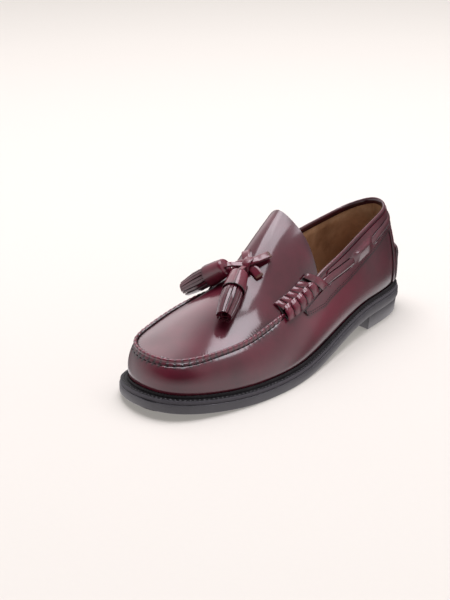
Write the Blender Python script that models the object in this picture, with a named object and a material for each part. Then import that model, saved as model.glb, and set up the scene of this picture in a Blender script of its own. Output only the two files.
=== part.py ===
# Tassel loafer, left shoe, standing empty on its sole.
# Toe towards -Y, lateral side towards +X, floor at z = 0, origin under the middle of the sole.
# Sizes are millimetres; add_piece turns them into metres.

import math

import bmesh
import bpy
import numpy as np

MM = 0.001
TURN = 2 * math.pi

# Driving sizes
GAP = 0.3
SOLE_LENGTH = 298.0
OUTSOLE_THICK = 6.5
SOLE_CHAMFER = 0.6
HEEL_HEIGHT = 12.0
HEEL_LENGTH = 72.0
HEEL_TOP_INSET = 1.0
HEEL_FOOT_INSET = 2.6
BREAST_HOLLOW = 5.0
TOE_SPRING = 6.0
WELT_THICK = 3.0
WELT_SETBACK = 0.8
RIB_HEIGHT = 2.4
RIB_THICK = 1.4
RIB_CLEARANCE = 0.5
INSOLE_RISE = 2.4
WALL_THICK = 2.2
APRON_THICK = 2.0
APRON_SKIVE = 0.45
SEAM_RIDGE = {"width": 2.8, "height": 2.2}
COLLAR_EDGE = {"width": 1.6, "height": 0.6}
BAND_THICK = 0.9
BAND_TOP_DEPTH = 1.6
TUNNEL_SWELL = 1.4
BRAID_LIFT = 1.0
BRAID_EDGE = 1.1
BRAID_PILLOW = 2.4
BRAID_TURNS = 6
BRAID_CLEARANCE = 1.2
LACE_WIDTH = 6.5
LACE_THICK = 1.5
STRIP_THICK = 0.8
PATCH_THICK = 1.3
PATCH_ROLL = 0.8
PATCH_TOP_DEPTH = 36.0
THONG_WIDTH = 5.5
THONG_THICK = 2.2
THONG_END = 1.5
RING_STEPS = 72

# Stretches of the length, as shares of the sole from the heel
STATION_THROAT = 0.45
STATION_BRAID_FRONT = 0.615
STATION_BRAID_REAR = {"outer": 0.448, "inner": 0.497}
STATION_RIDGE = (0.628, 0.665)
STATION_BAND_FRONT = 0.55
TUNNEL_STATIONS = (0.205, 0.300)
STATION_STRIP = 0.085
STATION_PATCH = 0.066
FOREFOOT_FLAT = (-78.0, -38.0)
HEEL_SEAT_FRONT = 90.0

# Sections round the foot, heel to toe, a table for each side.
# edge: sole half-width; margin: sole edge to the wall's foot; inset: wall's foot to its top edge in plan;
# top: height of that edge; belly: swell of the wall's lower half; shoulder: roundness of its upper half.
RING_COLUMNS = ("station", "edge", "margin", "inset", "top", "belly", "shoulder")
HEEL_ROW = (0.00, 0.0, 5.0, 8.0, 85.5, 4.5, 0.35)
TOE_ROW = (1.00, 0.0, 7.5, 8.0, 36.0, 2.5, 0.80)
LATERAL_ROWS = (
    (0.08, 30.5, 4.6, 7.5, 83.5, 4.5, 0.35),
    (0.16, 35.0, 4.2, 8.0, 80.0, 4.0, 0.35),
    (0.26, 37.0, 4.0, 7.0, 74.0, 3.0, 0.40),
    (0.36, 40.3, 4.0, 7.0, 68.0, 3.0, 0.45),
    (0.46, 45.0, 4.5, 9.5, 61.0, 3.0, 0.45),
    (0.56, 49.5, 5.0, 11.5, 49.8, 3.0, 0.45),
    (0.66, 52.0, 5.5, 14.5, 42.5, 3.2, 0.50),
    (0.75, 50.0, 6.0, 12.5, 39.0, 3.2, 0.60),
    (0.84, 43.8, 6.5, 10.3, 37.2, 3.0, 0.70),
    (0.92, 33.8, 7.0, 9.2, 36.2, 2.6, 0.80),
)
MEDIAL_ROWS = (
    (0.08, 30.0, 4.6, 7.5, 79.2, 4.5, 0.35),
    (0.16, 34.0, 4.2, 8.0, 76.5, 4.0, 0.35),
    (0.26, 33.5, 4.0, 6.0, 74.0, 3.5, 0.40),
    (0.36, 31.0, 3.5, 2.0, 69.8, 4.5, 0.45),
    (0.46, 31.5, 3.5, -0.5, 62.0, 5.5, 0.45),
    (0.56, 37.5, 4.0, 2.5, 52.5, 5.0, 0.45),
    (0.66, 45.5, 5.0, 7.0, 50.0, 4.0, 0.50),
    (0.75, 50.8, 6.0, 8.0, 46.8, 3.5, 0.60),
    (0.84, 51.8, 6.5, 6.4, 41.6, 3.0, 0.70),
    (0.92, 45.5, 7.0, 4.4, 38.2, 2.6, 0.80),
)

# The apron's crown over the line between its two seams, toe to throat.
# rise: its height; lean: how far its top lies towards the medial side; fullness: squareness of its flanks.
CROWN_COLUMNS = ("station", "rise", "lean", "fullness")
CROWN_ROWS = (
    (1.00, 0.0, 0.00, 0.0),
    (0.92, 2.5, 0.00, 0.0),
    (0.84, 6.0, 0.00, 0.0),
    (0.75, 9.5, 0.00, 0.0),
    (0.66, 15.5, 0.00, 0.0),
    (0.61, 22.5, 0.08, 0.0),
    (0.56, 31.0, 0.25, 0.1),
    (0.45, 38.0, 0.44, 0.7),
    (0.36, 43.0, 0.62, 1.2),
)
CROWN_LEAN = 0.053

# Depths below the collar's edge: station, the band's lower edge, the lace's middle
BAND_ROWS = (
    (0.00, 16.0, 8.5),
    (0.10, 16.0, 9.5),
    (0.20, 19.5, 11.5),
    (0.30, 20.5, 10.5),
    (0.40, 20.5, 7.5),
    (0.47, 20.5, 6.0),
    (0.53, 14.5, 6.0),
    (0.55, 11.5, 6.0),
)

# How far a braid reaches down the wall and on to the apron, at its front and its rear
BRAID_REACH = {"wall": (4.0, 7.0), "apron": (10.5, 8.5)}

# The two tassels lie on the apron: name, station and share across at the top, the same at the foot
TASSEL_ROWS = (
    ("front", 0.634, -0.05, 0.745, 0.36),
    ("side", 0.628, -0.22, 0.628, -0.99),
)
# Turned outlines of a tassel's two pieces: length from its top, radius
CAP_ROWS = ((0.0, 3.6), (0.8, 4.9), (5.0, 6.3), (11.0, 7.5), (17.0, 8.2))
FRINGE_ROWS = ((17.3, 6.8), (20.0, 7.3), (28.0, 7.4), (36.0, 6.6), (43.0, 5.6))
FRINGE_STRIPS = 13
FRINGE_GROOVE = 0.8
FRINGE_WALL = 1.2
FRINGE_HOLLOW = 2.5
TASSEL_CLEARANCE = 0.4

# The knot's two straps: towards the lateral side, towards the throat, height off the apron
KNOT_PLACE = (0.597, -0.08)
KNOT_HEIGHT = 3.0
STRAP_ROWS = (
    ((-7.5, -2.5, 1.7), (-4.0, -2.0, 2.9), (0.0, 0.0, 4.6), (4.0, 4.5, 3.8), (7.5, 9.5, 2.6)),
    ((-5.0, 7.5, 1.7), (-2.5, 3.5, 2.2), (0.5, 0.5, 2.6), (5.0, -0.5, 2.2), (9.0, -1.0, 1.8)),
)

# Finishes: base colour, roughness and metallic value
FINISHES = {
    "burgundy_leather": ((0.115, 0.012, 0.020), 0.22, 0.0),
    "black_welt": ((0.012, 0.012, 0.013), 0.55, 0.0),
    "black_sole": ((0.030, 0.029, 0.032), 0.42, 0.0),
    "tan_lining": ((0.150, 0.072, 0.026), 0.60, 0.0),
}


def angle_of(station):
    """Place round the foot of a lateral station: 0 at the heel's back, half a turn at the toe tip."""
    return math.acos(1 - 2 * station)


def closed_spline(knots, values):
    """A closed curve through values at knots within one turn from 0, smooth to its second derivative."""
    knots = np.asarray(knots)
    values = np.asarray(values)
    count = len(knots)
    steps = np.diff(np.append(knots, TURN))
    system = np.zeros((count, count))
    load = np.zeros(count)
    for i in range(count):
        before, after = steps[i - 1], steps[i]
        system[i, i - 1] += before
        system[i, i] += 2 * (before + after)
        system[i, (i + 1) % count] += after
        load[i] = 6 * ((values[(i + 1) % count] - values[i]) / after - (values[i] - values[i - 1]) / before)
    bends = np.linalg.solve(system, load)

    def curve(angle):
        angle = np.mod(angle, TURN)
        i = np.searchsorted(knots, angle, side="right") - 1
        j = (i + 1) % count
        step = steps[i]
        ahead = (angle - knots[i]) / step
        behind = 1 - ahead
        sag = ((behind**3 - behind) * bends[i] + (ahead**3 - ahead) * bends[j]) * step**2 / 6
        return behind * values[i] + ahead * values[j] + sag

    return curve


def ring_curves():
    """One closed curve for each column of the ring tables; the sole's edge is signed, lateral positive."""
    rows = [(HEEL_ROW, 0.0, 1)]
    rows += [(row, angle_of(row[0]), 1) for row in LATERAL_ROWS]
    rows += [(TOE_ROW, math.pi, 1)]
    rows += [(row, TURN - angle_of(row[0]), -1) for row in reversed(MEDIAL_ROWS)]
    knots = [angle for _, angle, _ in rows]
    curves = {}
    for i, column in enumerate(RING_COLUMNS[1:], start=1):
        values = [row[i] * (side if column == "edge" else 1) for row, _, side in rows]
        curves[column] = closed_spline(knots, values)
    return curves


def crown_curves():
    """One curve for each column of the crown table, by angle away from the toe, the same on both sides."""
    rows = CROWN_ROWS + tuple(reversed(CROWN_ROWS[1:]))
    away = [math.pi - angle_of(row[0]) for row in CROWN_ROWS]
    knots = away + [TURN - angle for angle in reversed(away[1:])]
    return {
        column: closed_spline(knots, [row[i] for row in rows])
        for i, column in enumerate(CROWN_COLUMNS[1:], start=1)
    }


RING = ring_curves()
CROWN = crown_curves()


def smooth_step(low, high, value):
    share = np.clip((value - low) / (high - low), 0, 1)
    return share * share * (3 - 2 * share)


def unit(vectors):
    return vectors / np.linalg.norm(vectors, axis=-1, keepdims=True)


def stack(*parts):
    return np.stack(np.broadcast_arrays(*parts), axis=-1)


def tread_height(y):
    """Underside of the outsole: flat forefoot, sprung toe, raised from the arch to the heel seat."""
    toe_end = -SOLE_LENGTH / 2
    spring = np.clip((FOREFOOT_FLAT[0] - y) / (FOREFOOT_FLAT[0] - toe_end), 0, 1)
    return TOE_SPRING * spring**1.7 + (HEEL_HEIGHT + GAP) * smooth_step(FOREFOOT_FLAT[1], HEEL_SEAT_FRONT, y)


def seat_height(y):
    """Top of the outsole, where the welt and the insole lie."""
    return tread_height(y) + OUTSOLE_THICK


def foot_height(y):
    """Foot of the wall, on the welt."""
    return seat_height(y) + WELT_THICK + 2 * GAP


def sole_edge(angle, inset=0.0):
    """Plan outline of the sole, moved in along its normal."""
    def at(a):
        return stack(RING["edge"](a), SOLE_LENGTH / 2 * np.cos(a))

    along = unit(at(angle + 1e-4) - at(angle - 1e-4))
    inward = stack(along[..., 1], -along[..., 0])
    return at(angle) + np.expand_dims(np.broadcast_to(inset, np.shape(angle)), -1) * inward, inward


def ridge_share(angle):
    """1 along the apron's raised seam, 0 under the braids and round the collar."""
    station = (1 - np.cos(angle)) / 2
    return smooth_step(*STATION_RIDGE, station)


def wall_section(angle):
    """The wall's four control points in its section plane, as distance inwards and height."""
    foot, _ = sole_edge(angle, RING["margin"](angle))
    low = foot_height(foot[..., 1])
    rise = RING["top"](angle) - low
    inset = RING["inset"](angle)
    return (
        stack(0 * low, low),
        stack(-RING["belly"](angle), low + 0.42 * rise),
        stack(inset * (1 - RING["shoulder"](angle)), low + 0.82 * rise),
        stack(inset, low + rise),
    )


def in_space(angle, section):
    """A section point, as distance inwards from the wall's foot and height, in space."""
    foot, inward = sole_edge(angle, RING["margin"](angle))
    plan = foot + section[..., :1] * inward
    return stack(plan[..., 0], plan[..., 1], section[..., 1])


def wall_curve(angle, share):
    """Outer face of the wall in its section plane, share 0 at the foot and 1 at the top."""
    a, b, c, d = wall_section(angle)
    t = np.expand_dims(np.broadcast_to(share, np.shape(angle)), -1)
    return (1 - t) ** 3 * a + 3 * (1 - t) ** 2 * t * b + 3 * (1 - t) * t * t * c + t**3 * d


def wall_inward(angle, share):
    """Unit normal of the section curve, towards the foot."""
    above = wall_curve(angle, np.minimum(share + 1e-3, 1))
    below = wall_curve(angle, np.maximum(share - 1e-3, 0))
    along = unit(above - below)
    return stack(along[..., 1], -along[..., 0])


def lip_frame(angle):
    """Run and stand of the lip over the wall's top edge, halfway between the wall's slope and level."""
    _, _, c, d = wall_section(angle)
    run = unit(unit(d - c) + np.array((1.0, 0.0)))
    stand = stack(-run[..., 1], run[..., 0])
    ridge = ridge_share(angle)
    width = COLLAR_EDGE["width"] + (SEAM_RIDGE["width"] - COLLAR_EDGE["width"]) * ridge
    height = COLLAR_EDGE["height"] + (SEAM_RIDGE["height"] - COLLAR_EDGE["height"]) * ridge
    return d, run, stand, np.expand_dims(width, -1), np.expand_dims(height, -1)


def lip_curve(angle, share):
    """The rounded lip from the wall's top edge, share 0, to the start of apron or lining, share 1."""
    start, run, stand, width, height = lip_frame(angle)
    bend = math.pi * share
    return start + run * width * (1 - math.cos(bend)) / 2 + stand * height * math.sin(bend)


def wall(angle, share):
    return in_space(angle, wall_curve(angle, share))


def run_lengths(line):
    """Length along a line of points, from its first point to each."""
    return np.append(0, np.cumsum(np.linalg.norm(np.diff(line, axis=0), axis=1)))


def share_below_top(angle, depth):
    """Share of the wall's section curve at a depth below its top edge, measured down the section."""
    shares = np.linspace(1, 0, 60)
    lengths = run_lengths(wall_curve(np.full(shares.shape, angle), shares))
    return np.interp(depth, lengths, shares)


def wall_below_top(angle, depth):
    """Outer face of the wall at depths below its top edge."""
    angle, depth = np.broadcast_arrays(angle, depth)
    shares = np.array([share_below_top(*at) for at in zip(angle.flat, depth.flat)]).reshape(angle.shape)
    return wall(angle, shares)


def seam_point(angle):
    return in_space(angle, lip_curve(angle, 1.0))


def apron(station, across):
    """Outer face of the apron: across runs from -1 at the medial seam to 1 at the lateral one."""
    away = math.pi - np.arccos(1 - 2 * np.asarray(station))
    lateral = seam_point(math.pi - away)
    medial = seam_point(math.pi + away)
    middle = (lateral + medial) / 2
    half = (lateral - medial) / 2
    rise = CROWN["rise"](away)
    lift = stack(0 * rise, CROWN_LEAN * rise, rise)
    across = np.broadcast_to(across, rise.shape)
    arch = (1 - across**2) * (1 - CROWN["lean"](away) * across + CROWN["fullness"](away) * across**2)
    return middle + half * np.expand_dims(across, -1) + lift * np.expand_dims(arch, -1)


def surface_normals(points):
    """Unit normals of a grid of points, from its two directions."""
    return unit(np.cross(np.gradient(points, axis=0), np.gradient(points, axis=1)))


def finish_material(name):
    material = bpy.data.materials.get(name)
    if material is None:
        colour, roughness, metallic = FINISHES[name]
        material = bpy.data.materials.new(name)
        material.use_nodes = True
        shader = material.node_tree.nodes["Principled BSDF"]
        shader.inputs["Base Color"].default_value = (*colour, 1)
        shader.inputs["Roughness"].default_value = roughness
        shader.inputs["Metallic"].default_value = metallic
    return material


def add_piece(name, finish, shape, sharp_degrees=40):
    """Makes a closed bmesh in millimetres an object in metres."""
    bmesh.ops.scale(shape, vec=(MM, MM, MM), verts=shape.verts)
    bmesh.ops.recalc_face_normals(shape, faces=shape.faces)
    mesh = bpy.data.meshes.new(name)
    shape.to_mesh(mesh)
    shape.free()
    mesh.materials.append(finish_material(finish))
    mesh.shade_smooth()
    mesh.set_sharp_from_angle(angle=math.radians(sharp_degrees))
    piece = bpy.data.objects.new(name, mesh)
    bpy.context.scene.collection.objects.link(piece)
    return piece


def grid_shape(points):
    """A bmesh grid with its vertices at the points; each vertex keeps its row and column."""
    rows, columns = points.shape[:2]
    shape = bmesh.new()
    row_layer = shape.verts.layers.int.new("row")
    column_layer = shape.verts.layers.int.new("column")
    made = bmesh.ops.create_grid(shape, x_segments=rows - 1, y_segments=columns - 1, size=0.5)
    for vert in made["verts"]:
        vert[row_layer] = round((vert.co.x + 0.5) * (rows - 1))
        vert[column_layer] = round((vert.co.y + 0.5) * (columns - 1))
        vert.co = points[vert[row_layer], vert[column_layer]]
    return shape


def closed_ring(points):
    """A ring of closed sections: the last row and column repeat the first, and are welded to it."""
    shape = grid_shape(points)
    bmesh.ops.remove_doubles(shape, verts=shape.verts, dist=1e-3)
    return shape


def slab(back, face):
    """A closed slab between two grids of points with the same rows and columns."""
    shape = grid_shape(back)
    row_layer = shape.verts.layers.int["row"]
    column_layer = shape.verts.layers.int["column"]
    made = bmesh.ops.extrude_face_region(shape, geom=shape.faces[:], use_keep_orig=True)
    for item in made["geom"]:
        if isinstance(item, bmesh.types.BMVert):
            item.co = face[item[row_layer], item[column_layer]]
    bmesh.ops.remove_doubles(shape, verts=shape.verts, dist=1e-3)
    return shape


def raised_on(points, lift, height):
    """A slab on a surface grid: its back lies lift above the surface and its face height above its back."""
    out = surface_normals(points)
    back = points + out * lift
    return slab(back, back + out * np.expand_dims(height, -1))


def paired_angles(count):
    """Angles down the lateral side from heel to toe, close together at the rounded ends."""
    return np.linspace(0, math.pi, count)


def plate_grid(angles, inset, height):
    """Two columns across the sole, lateral then medial, at a height that follows the length."""
    lateral, _ = sole_edge(angles, inset(angles))
    medial, _ = sole_edge(TURN - angles, inset(TURN - angles))
    level = (lateral[:, 1] + medial[:, 1]) / 2
    sides = [stack(side[:, 0], side[:, 1], height(level)) for side in (lateral, medial)]
    return np.stack(sides, axis=1)


def build_outsole():
    angles = paired_angles(33)
    under = plate_grid(angles, np.zeros_like, tread_height)
    over = plate_grid(angles, np.zeros_like, seat_height)
    shape = slab(under, over)
    rim = [edge for edge in shape.edges if len(edge.link_faces) == 2 and edge.calc_face_angle(0) > 1.0]
    rim = [edge for edge in rim if any(abs(face.normal.z) > 0.7 for face in edge.link_faces)]
    bmesh.ops.bevel(
        shape, geom=rim, offset=SOLE_CHAMFER, segments=1, affect="EDGES", profile=0.5, material=-1
    )
    return add_piece("outsole", "black_sole", shape)


def build_heel():
    """The heel block: sole outline drawn in a little, hollowed breast, top on the outsole's underside."""
    back = SOLE_LENGTH / 2
    breast = back - HEEL_LENGTH
    angles = np.linspace(0.0, math.acos(breast / back), 13)
    columns = np.linspace(-1, 1, 7)

    def layer(inset, height):
        sides = plate_grid(angles, lambda a: np.full(a.shape, inset), height)
        lateral, medial = sides[:, 0], sides[:, 1]
        grid = np.stack([(lateral * (1 + c) + medial * (1 - c)) / 2 for c in columns], axis=1)
        hollow = BREAST_HOLLOW * (1 - columns**2) * np.linspace(0, 1, len(angles))[:, None] ** 2
        grid[..., 1] += hollow
        grid[..., 2] = height(grid[..., 1])
        return grid

    foot = layer(HEEL_FOOT_INSET, np.zeros_like)
    seat = layer(HEEL_TOP_INSET, lambda y: tread_height(y) - GAP)
    return add_piece("heel", "black_sole", slab(foot, seat))


def build_welt():
    """A strip round the whole sole, with a rib that stands against the wall."""
    angles = np.linspace(0, TURN, RING_STEPS + 1)
    margin = RING["margin"](angles)
    rib_in = margin - RIB_CLEARANCE
    rib_out = np.maximum(rib_in - RIB_THICK, WELT_SETBACK + RIB_CLEARANCE)
    inner = margin + WALL_THICK
    outline = (
        (np.full_like(margin, WELT_SETBACK), 0.0),
        (np.full_like(margin, WELT_SETBACK), WELT_THICK),
        (rib_out, WELT_THICK),
        (rib_out, WELT_THICK + RIB_HEIGHT),
        (rib_in, WELT_THICK + RIB_HEIGHT),
        (rib_in, WELT_THICK),
        (inner, WELT_THICK),
        (inner, 0.0),
    )
    sections = []
    for inset, lift in outline + outline[:1]:
        plan, _ = sole_edge(angles, inset)
        sections.append(stack(plan[:, 0], plan[:, 1], seat_height(plan[:, 1]) + GAP + lift))
    return add_piece("welt", "black_welt", closed_ring(np.stack(sections, axis=1)))


def build_insole():
    def inset(angles):
        return RING["margin"](angles) + WALL_THICK + 2 * GAP

    angles = paired_angles(29)
    under = plate_grid(angles, inset, lambda y: seat_height(y) + GAP)
    over = plate_grid(angles, inset, lambda y: foot_height(y) + INSOLE_RISE)
    return add_piece("insole", "tan_lining", slab(under, over))


def build_upper():
    """The moccasin wall, vamp and quarters in one: open at the apron, throat and collar, and underneath."""
    angles = np.linspace(0, TURN, RING_STEPS + 1)
    shares = (0, 0.15, 0.32, 0.5, 0.68, 0.85, 1)
    outer = [wall_curve(angles, np.full_like(angles, share)) for share in shares]
    lip = [lip_curve(angles, share) for share in (0.28, 0.5, 0.72, 1.0)]
    _, _, stand, _, _ = lip_frame(angles)
    inner = [lip[-1] - stand * WALL_THICK]
    for share in (0.9, 0.72, 0.5, 0.25, 0):
        at = np.full_like(angles, share)
        inner.append(wall_curve(angles, at) + wall_inward(angles, at) * WALL_THICK)
    inner[-1][:, 1] = outer[0][:, 1]
    loop = outer + lip + inner
    points = np.stack([in_space(angles, section) for section in loop + loop[:1]], axis=1)
    return add_piece("upper", "burgundy_leather", closed_ring(points))


def build_apron():
    """The plug and tall tongue in one sheet, toe seam to throat, skived thinner towards its seams."""
    away = np.linspace(0.09, math.pi - angle_of(STATION_THROAT), 22)
    station = (1 + np.cos(away)) / 2
    columns = np.sin(np.linspace(math.pi / 2, -math.pi / 2, 13))
    half = np.linalg.norm(apron(station, 1.0) - apron(station, -1.0), axis=1) / 2
    kept = 1 - (GAP + 0.5) / half
    face = np.stack([apron(station, column * kept) for column in columns], axis=1)
    face[0, :, 1] += GAP
    out = surface_normals(face)
    thick = APRON_THICK * (1 - APRON_SKIVE * np.abs(columns) ** 8)
    return add_piece("apron_tongue", "burgundy_leather", slab(face - out * thick[:, None], face))


def lace_windows():
    """Stretches of collar where the lace shows, as first and last angle: lateral, back and medial."""
    back, far = (angle_of(station) for station in TUNNEL_STATIONS)
    back, far = back - 0.035, far + 0.035
    near = angle_of(STATION_BRAID_REAR["outer"] - 0.022)
    return {"lateral": (far, near), "back": (-back, back), "medial": (-near, -far)}


def band_depths(angles):
    """Depth of the band's lower edge and of the lace's middle, by angle round the collar."""
    table = np.array(BAND_ROWS)
    station = (1 - np.cos(angles)) / 2
    return np.interp(station, table[:, 0], table[:, 1]), np.interp(station, table[:, 0], table[:, 2])


def build_collar_band():
    """A band round the collar, swollen where the lace runs behind it; its ends tuck in below the braids."""
    end = angle_of(STATION_BAND_FRONT)
    angles = np.linspace(-end, end, 45)
    station = (1 - np.cos(angles)) / 2
    lower, lace = band_depths(angles)
    below_braid = braid_reach(station)[0] + BRAID_CLEARANCE
    rear = STATION_BRAID_REAR["outer"]
    upper = BAND_TOP_DEPTH + below_braid * smooth_step(rear - 0.032, rear - 0.011, station)
    depths = upper[:, None] + (lower - upper)[:, None] * np.linspace(0, 1, 7)
    back, far = (angle_of(share) for share in TUNNEL_STATIONS)
    around = np.abs(angles)
    hidden = smooth_step(back - 0.02, back + 0.08, around) - smooth_step(far - 0.08, far + 0.02, around)
    over_lace = 1 - smooth_step(0.25 * LACE_WIDTH, LACE_WIDTH, np.abs(depths - lace[:, None]))
    height = BAND_THICK + TUNNEL_SWELL * hidden[:, None] * over_lace
    points = wall_below_top(angles[:, None], depths)
    return add_piece("collar_band", "burgundy_leather", raised_on(points, GAP, height), 60)


def build_laces():
    for side, (first, last) in lace_windows().items():
        count = 19 if side == "back" else 10
        angles = np.linspace(first, last, count)
        across = np.array([-0.5, -0.36, 0.0, 0.36, 0.5])
        crown = np.array([0.45, 0.88, 1.0, 0.88, 0.45])
        _, middle = band_depths(angles)
        points = wall_below_top(angles[:, None], middle[:, None] + LACE_WIDTH * across)
        dive = 1 - 0.55 * np.abs(np.linspace(-1, 1, count)) ** 8
        height = LACE_THICK * dive[:, None] * crown
        add_piece(f"lace_{side}", "burgundy_leather", raised_on(points, BAND_THICK + 2 * GAP, height), 60)


def heel_panel(half_station, low_share, high_depth, rows, columns):
    """A grid on the back of the wall, from a depth below the collar down to a share of the wall's height."""
    reach = angle_of(half_station)
    angles = np.linspace(-reach, reach, columns)
    top = np.array([share_below_top(angle, high_depth) for angle in angles])[:, None]
    shares = top + (low_share - top) * np.linspace(0, 1, rows)
    return wall(angles[:, None] + 0 * shares, shares)


def build_back_strip():
    """The strip up the back of the heel, a little thicker along its piped edges."""
    points = heel_panel(STATION_STRIP, 0.07, BAND_ROWS[0][1] + 0.8, 7, 11)
    piping = np.abs(np.linspace(-1, 1, 11)) ** 6
    height = STRIP_THICK * (1 + 0.5 * piping)[:, None] + np.zeros(points.shape[:2])
    return add_piece("back_strip", "burgundy_leather", raised_on(points, GAP, height), 60)


def build_heel_patch():
    """A patch over the foot of the back strip with a rolled top edge."""
    points = heel_panel(STATION_PATCH, 0.075, PATCH_TOP_DEPTH, 8, 11)
    roll = np.array([0.2, 1.0, 0.9, 0.25, 0.0, 0.0, 0.0, 0.0])
    height = PATCH_THICK + PATCH_ROLL * roll + np.zeros(points.shape[:2])
    over_strip = STRIP_THICK * 1.3 + 2 * GAP
    return add_piece("heel_patch", "burgundy_leather", raised_on(points, over_strip, height), 60)


def over_seam(side, station, distance):
    """A point at a distance from the apron seam: up the wall where negative, on the apron where positive."""
    if distance <= 0:
        angle = angle_of(station) if side > 0 else TURN - angle_of(station)
        return wall_below_top(np.array(angle), np.array(-distance))
    flank = side * np.linspace(1, 0.2, 40)
    line = apron(np.full(flank.shape, station), flank)
    return np.array([np.interp(distance, run_lengths(line), line[:, axis]) for axis in range(3)])


def braid_reach(station):
    """How far a braid reaches down the wall and on to the apron."""
    length = STATION_BRAID_FRONT - STATION_BRAID_REAR["outer"]
    run = np.clip((STATION_BRAID_FRONT - station) / length, 0, 1)
    return [front + (rear - front) * run for front, rear in BRAID_REACH.values()]


def build_braids():
    """Plaited lacing over the two ends of the apron seam: two rows of pillows, half a turn apart."""
    run = np.linspace(0, 1, BRAID_TURNS * 4 + 1)[:, None]
    across = np.linspace(0, 1, 9)
    in_row = np.where(across < 1, (across * 2) % 1.0, 1.0)
    half_turn = np.where(across < 0.5, 0.0, 0.5)
    pillow = np.abs(np.sin(math.pi * (run * BRAID_TURNS + half_turn + 0.35 * (in_row - 0.5)))) ** 0.6
    height = BRAID_EDGE + BRAID_PILLOW * pillow * np.sin(math.pi * in_row) ** 0.5
    rear = STATION_BRAID_REAR["outer"] * (1 - across) + STATION_BRAID_REAR["inner"] * across
    station = STATION_BRAID_FRONT + (rear - STATION_BRAID_FRONT) * run
    on_wall, on_apron = braid_reach(station)
    distance = -on_wall + (on_wall + on_apron) * across
    for name, side in (("braid_lateral", 1), ("braid_medial", -1)):
        bed = np.array([over_seam(side, *at) for at in zip(station.flat, distance.flat)])
        bed = bed.reshape(station.shape + (3,))
        add_piece(name, "burgundy_leather", raised_on(bed[:, ::side], BRAID_LIFT, height[:, ::side]), 60)


def apron_frame(station, across):
    """A point of the apron and its normal."""
    lateral = apron(station, across + 0.01) - apron(station, across - 0.01)
    throat = apron(station - 0.001, across) - apron(station + 0.001, across)
    return apron(station, across), unit(np.cross(lateral, throat))


def resting_axis(top, foot):
    """Start and direction of a tassel's axis, raised off the apron until the turned outline clears it."""
    stations, across = np.meshgrid(np.linspace(0.56, 0.84, 80), np.linspace(-1, 1, 80), indexing="ij")
    sides = np.concatenate([np.arccos(1 - 2 * stations[:, 0]), TURN - np.arccos(1 - 2 * stations[:, 0])])
    lip = [in_space(sides, lip_curve(sides, share)) for share in np.linspace(0, 1, 9)]
    leather = np.concatenate([apron(stations, across).reshape(-1, 3)] + lip)
    start = apron(*top)
    along = unit(apron(*foot) - start)
    _, out = apron_frame((top[0] + foot[0]) / 2, (top[1] + foot[1]) / 2)
    outline = np.array(CAP_ROWS + FRINGE_ROWS)
    for lift in np.arange(4.0, 16.0, 0.05):
        reach = leather - start - out * lift
        length = reach @ along
        inside = (length > 0) & (length < outline[-1, 0])
        away = np.linalg.norm(reach - length[:, None] * along, axis=1)
        clearance = away - np.interp(length, outline[:, 0], outline[:, 1])
        if clearance[inside].min() > TASSEL_CLEARANCE:
            break
    return start + out * lift, along, out


def turned(axis, rows, steps, groove=np.zeros_like):
    """A solid turned about an axis from rows of length and radius, closed to the axis at both ends."""
    start, along, out = axis
    side = np.cross(along, out)
    turns = np.linspace(0, 1, steps + 1)
    points = []
    for length, radius in rows:
        around = np.maximum(radius - groove(turns), 0)[:, None]
        spoke = np.cos(TURN * turns)[:, None] * out + np.sin(TURN * turns)[:, None] * side
        points.append(start + along * length + spoke * around)
    return closed_ring(np.stack(points))


def strip_groove(turns):
    """Depth of the grooves between the strips of a fringe, by turns round it."""
    return FRINGE_GROOVE * (1 - np.abs(np.sin(math.pi * FRINGE_STRIPS * turns)) ** 0.5)


def build_tassels():
    axes = {}
    for name, top_station, top_across, foot_station, foot_across in TASSEL_ROWS:
        axis = resting_axis((top_station, top_across), (foot_station, foot_across))
        axes[name] = axis
        cap = ((CAP_ROWS[0][0], 0.0),) + CAP_ROWS + ((CAP_ROWS[-1][0], 0.0),)
        add_piece(f"tassel_cap_{name}", "burgundy_leather", turned(axis, cap, 20), 50)
        end, radius = FRINGE_ROWS[-1]
        bore = radius - FRINGE_WALL
        hollow = ((end, bore), (end - FRINGE_HOLLOW, bore - 0.4), (end - FRINGE_HOLLOW, 0.0))
        fringe = ((FRINGE_ROWS[0][0], 0.0),) + FRINGE_ROWS + hollow
        strips = turned(axis, fringe, FRINGE_STRIPS * 3, strip_groove)
        add_piece(f"tassel_fringe_{name}", "burgundy_leather", strips, 50)
    return axes


def strap(points, normals, width, thick):
    """A flat bar along points, its flats square to the normals, rounded a little at its edges."""
    along = unit(np.gradient(points, axis=0))
    side = unit(np.cross(along, normals))
    up = np.cross(side, along)
    half = ((-0.5, -0.2), (-0.4, -0.5), (0.4, -0.5), (0.5, -0.2))
    outline = half + tuple((-w, -t) for w, t in half)
    rings = [points + side * (width * w) + up * (thick * t) for w, t in outline + outline[:1]]
    shape = closed_ring(np.stack(rings, axis=1))
    bmesh.ops.holes_fill(shape, edges=[edge for edge in shape.edges if edge.is_boundary])
    return shape


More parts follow.
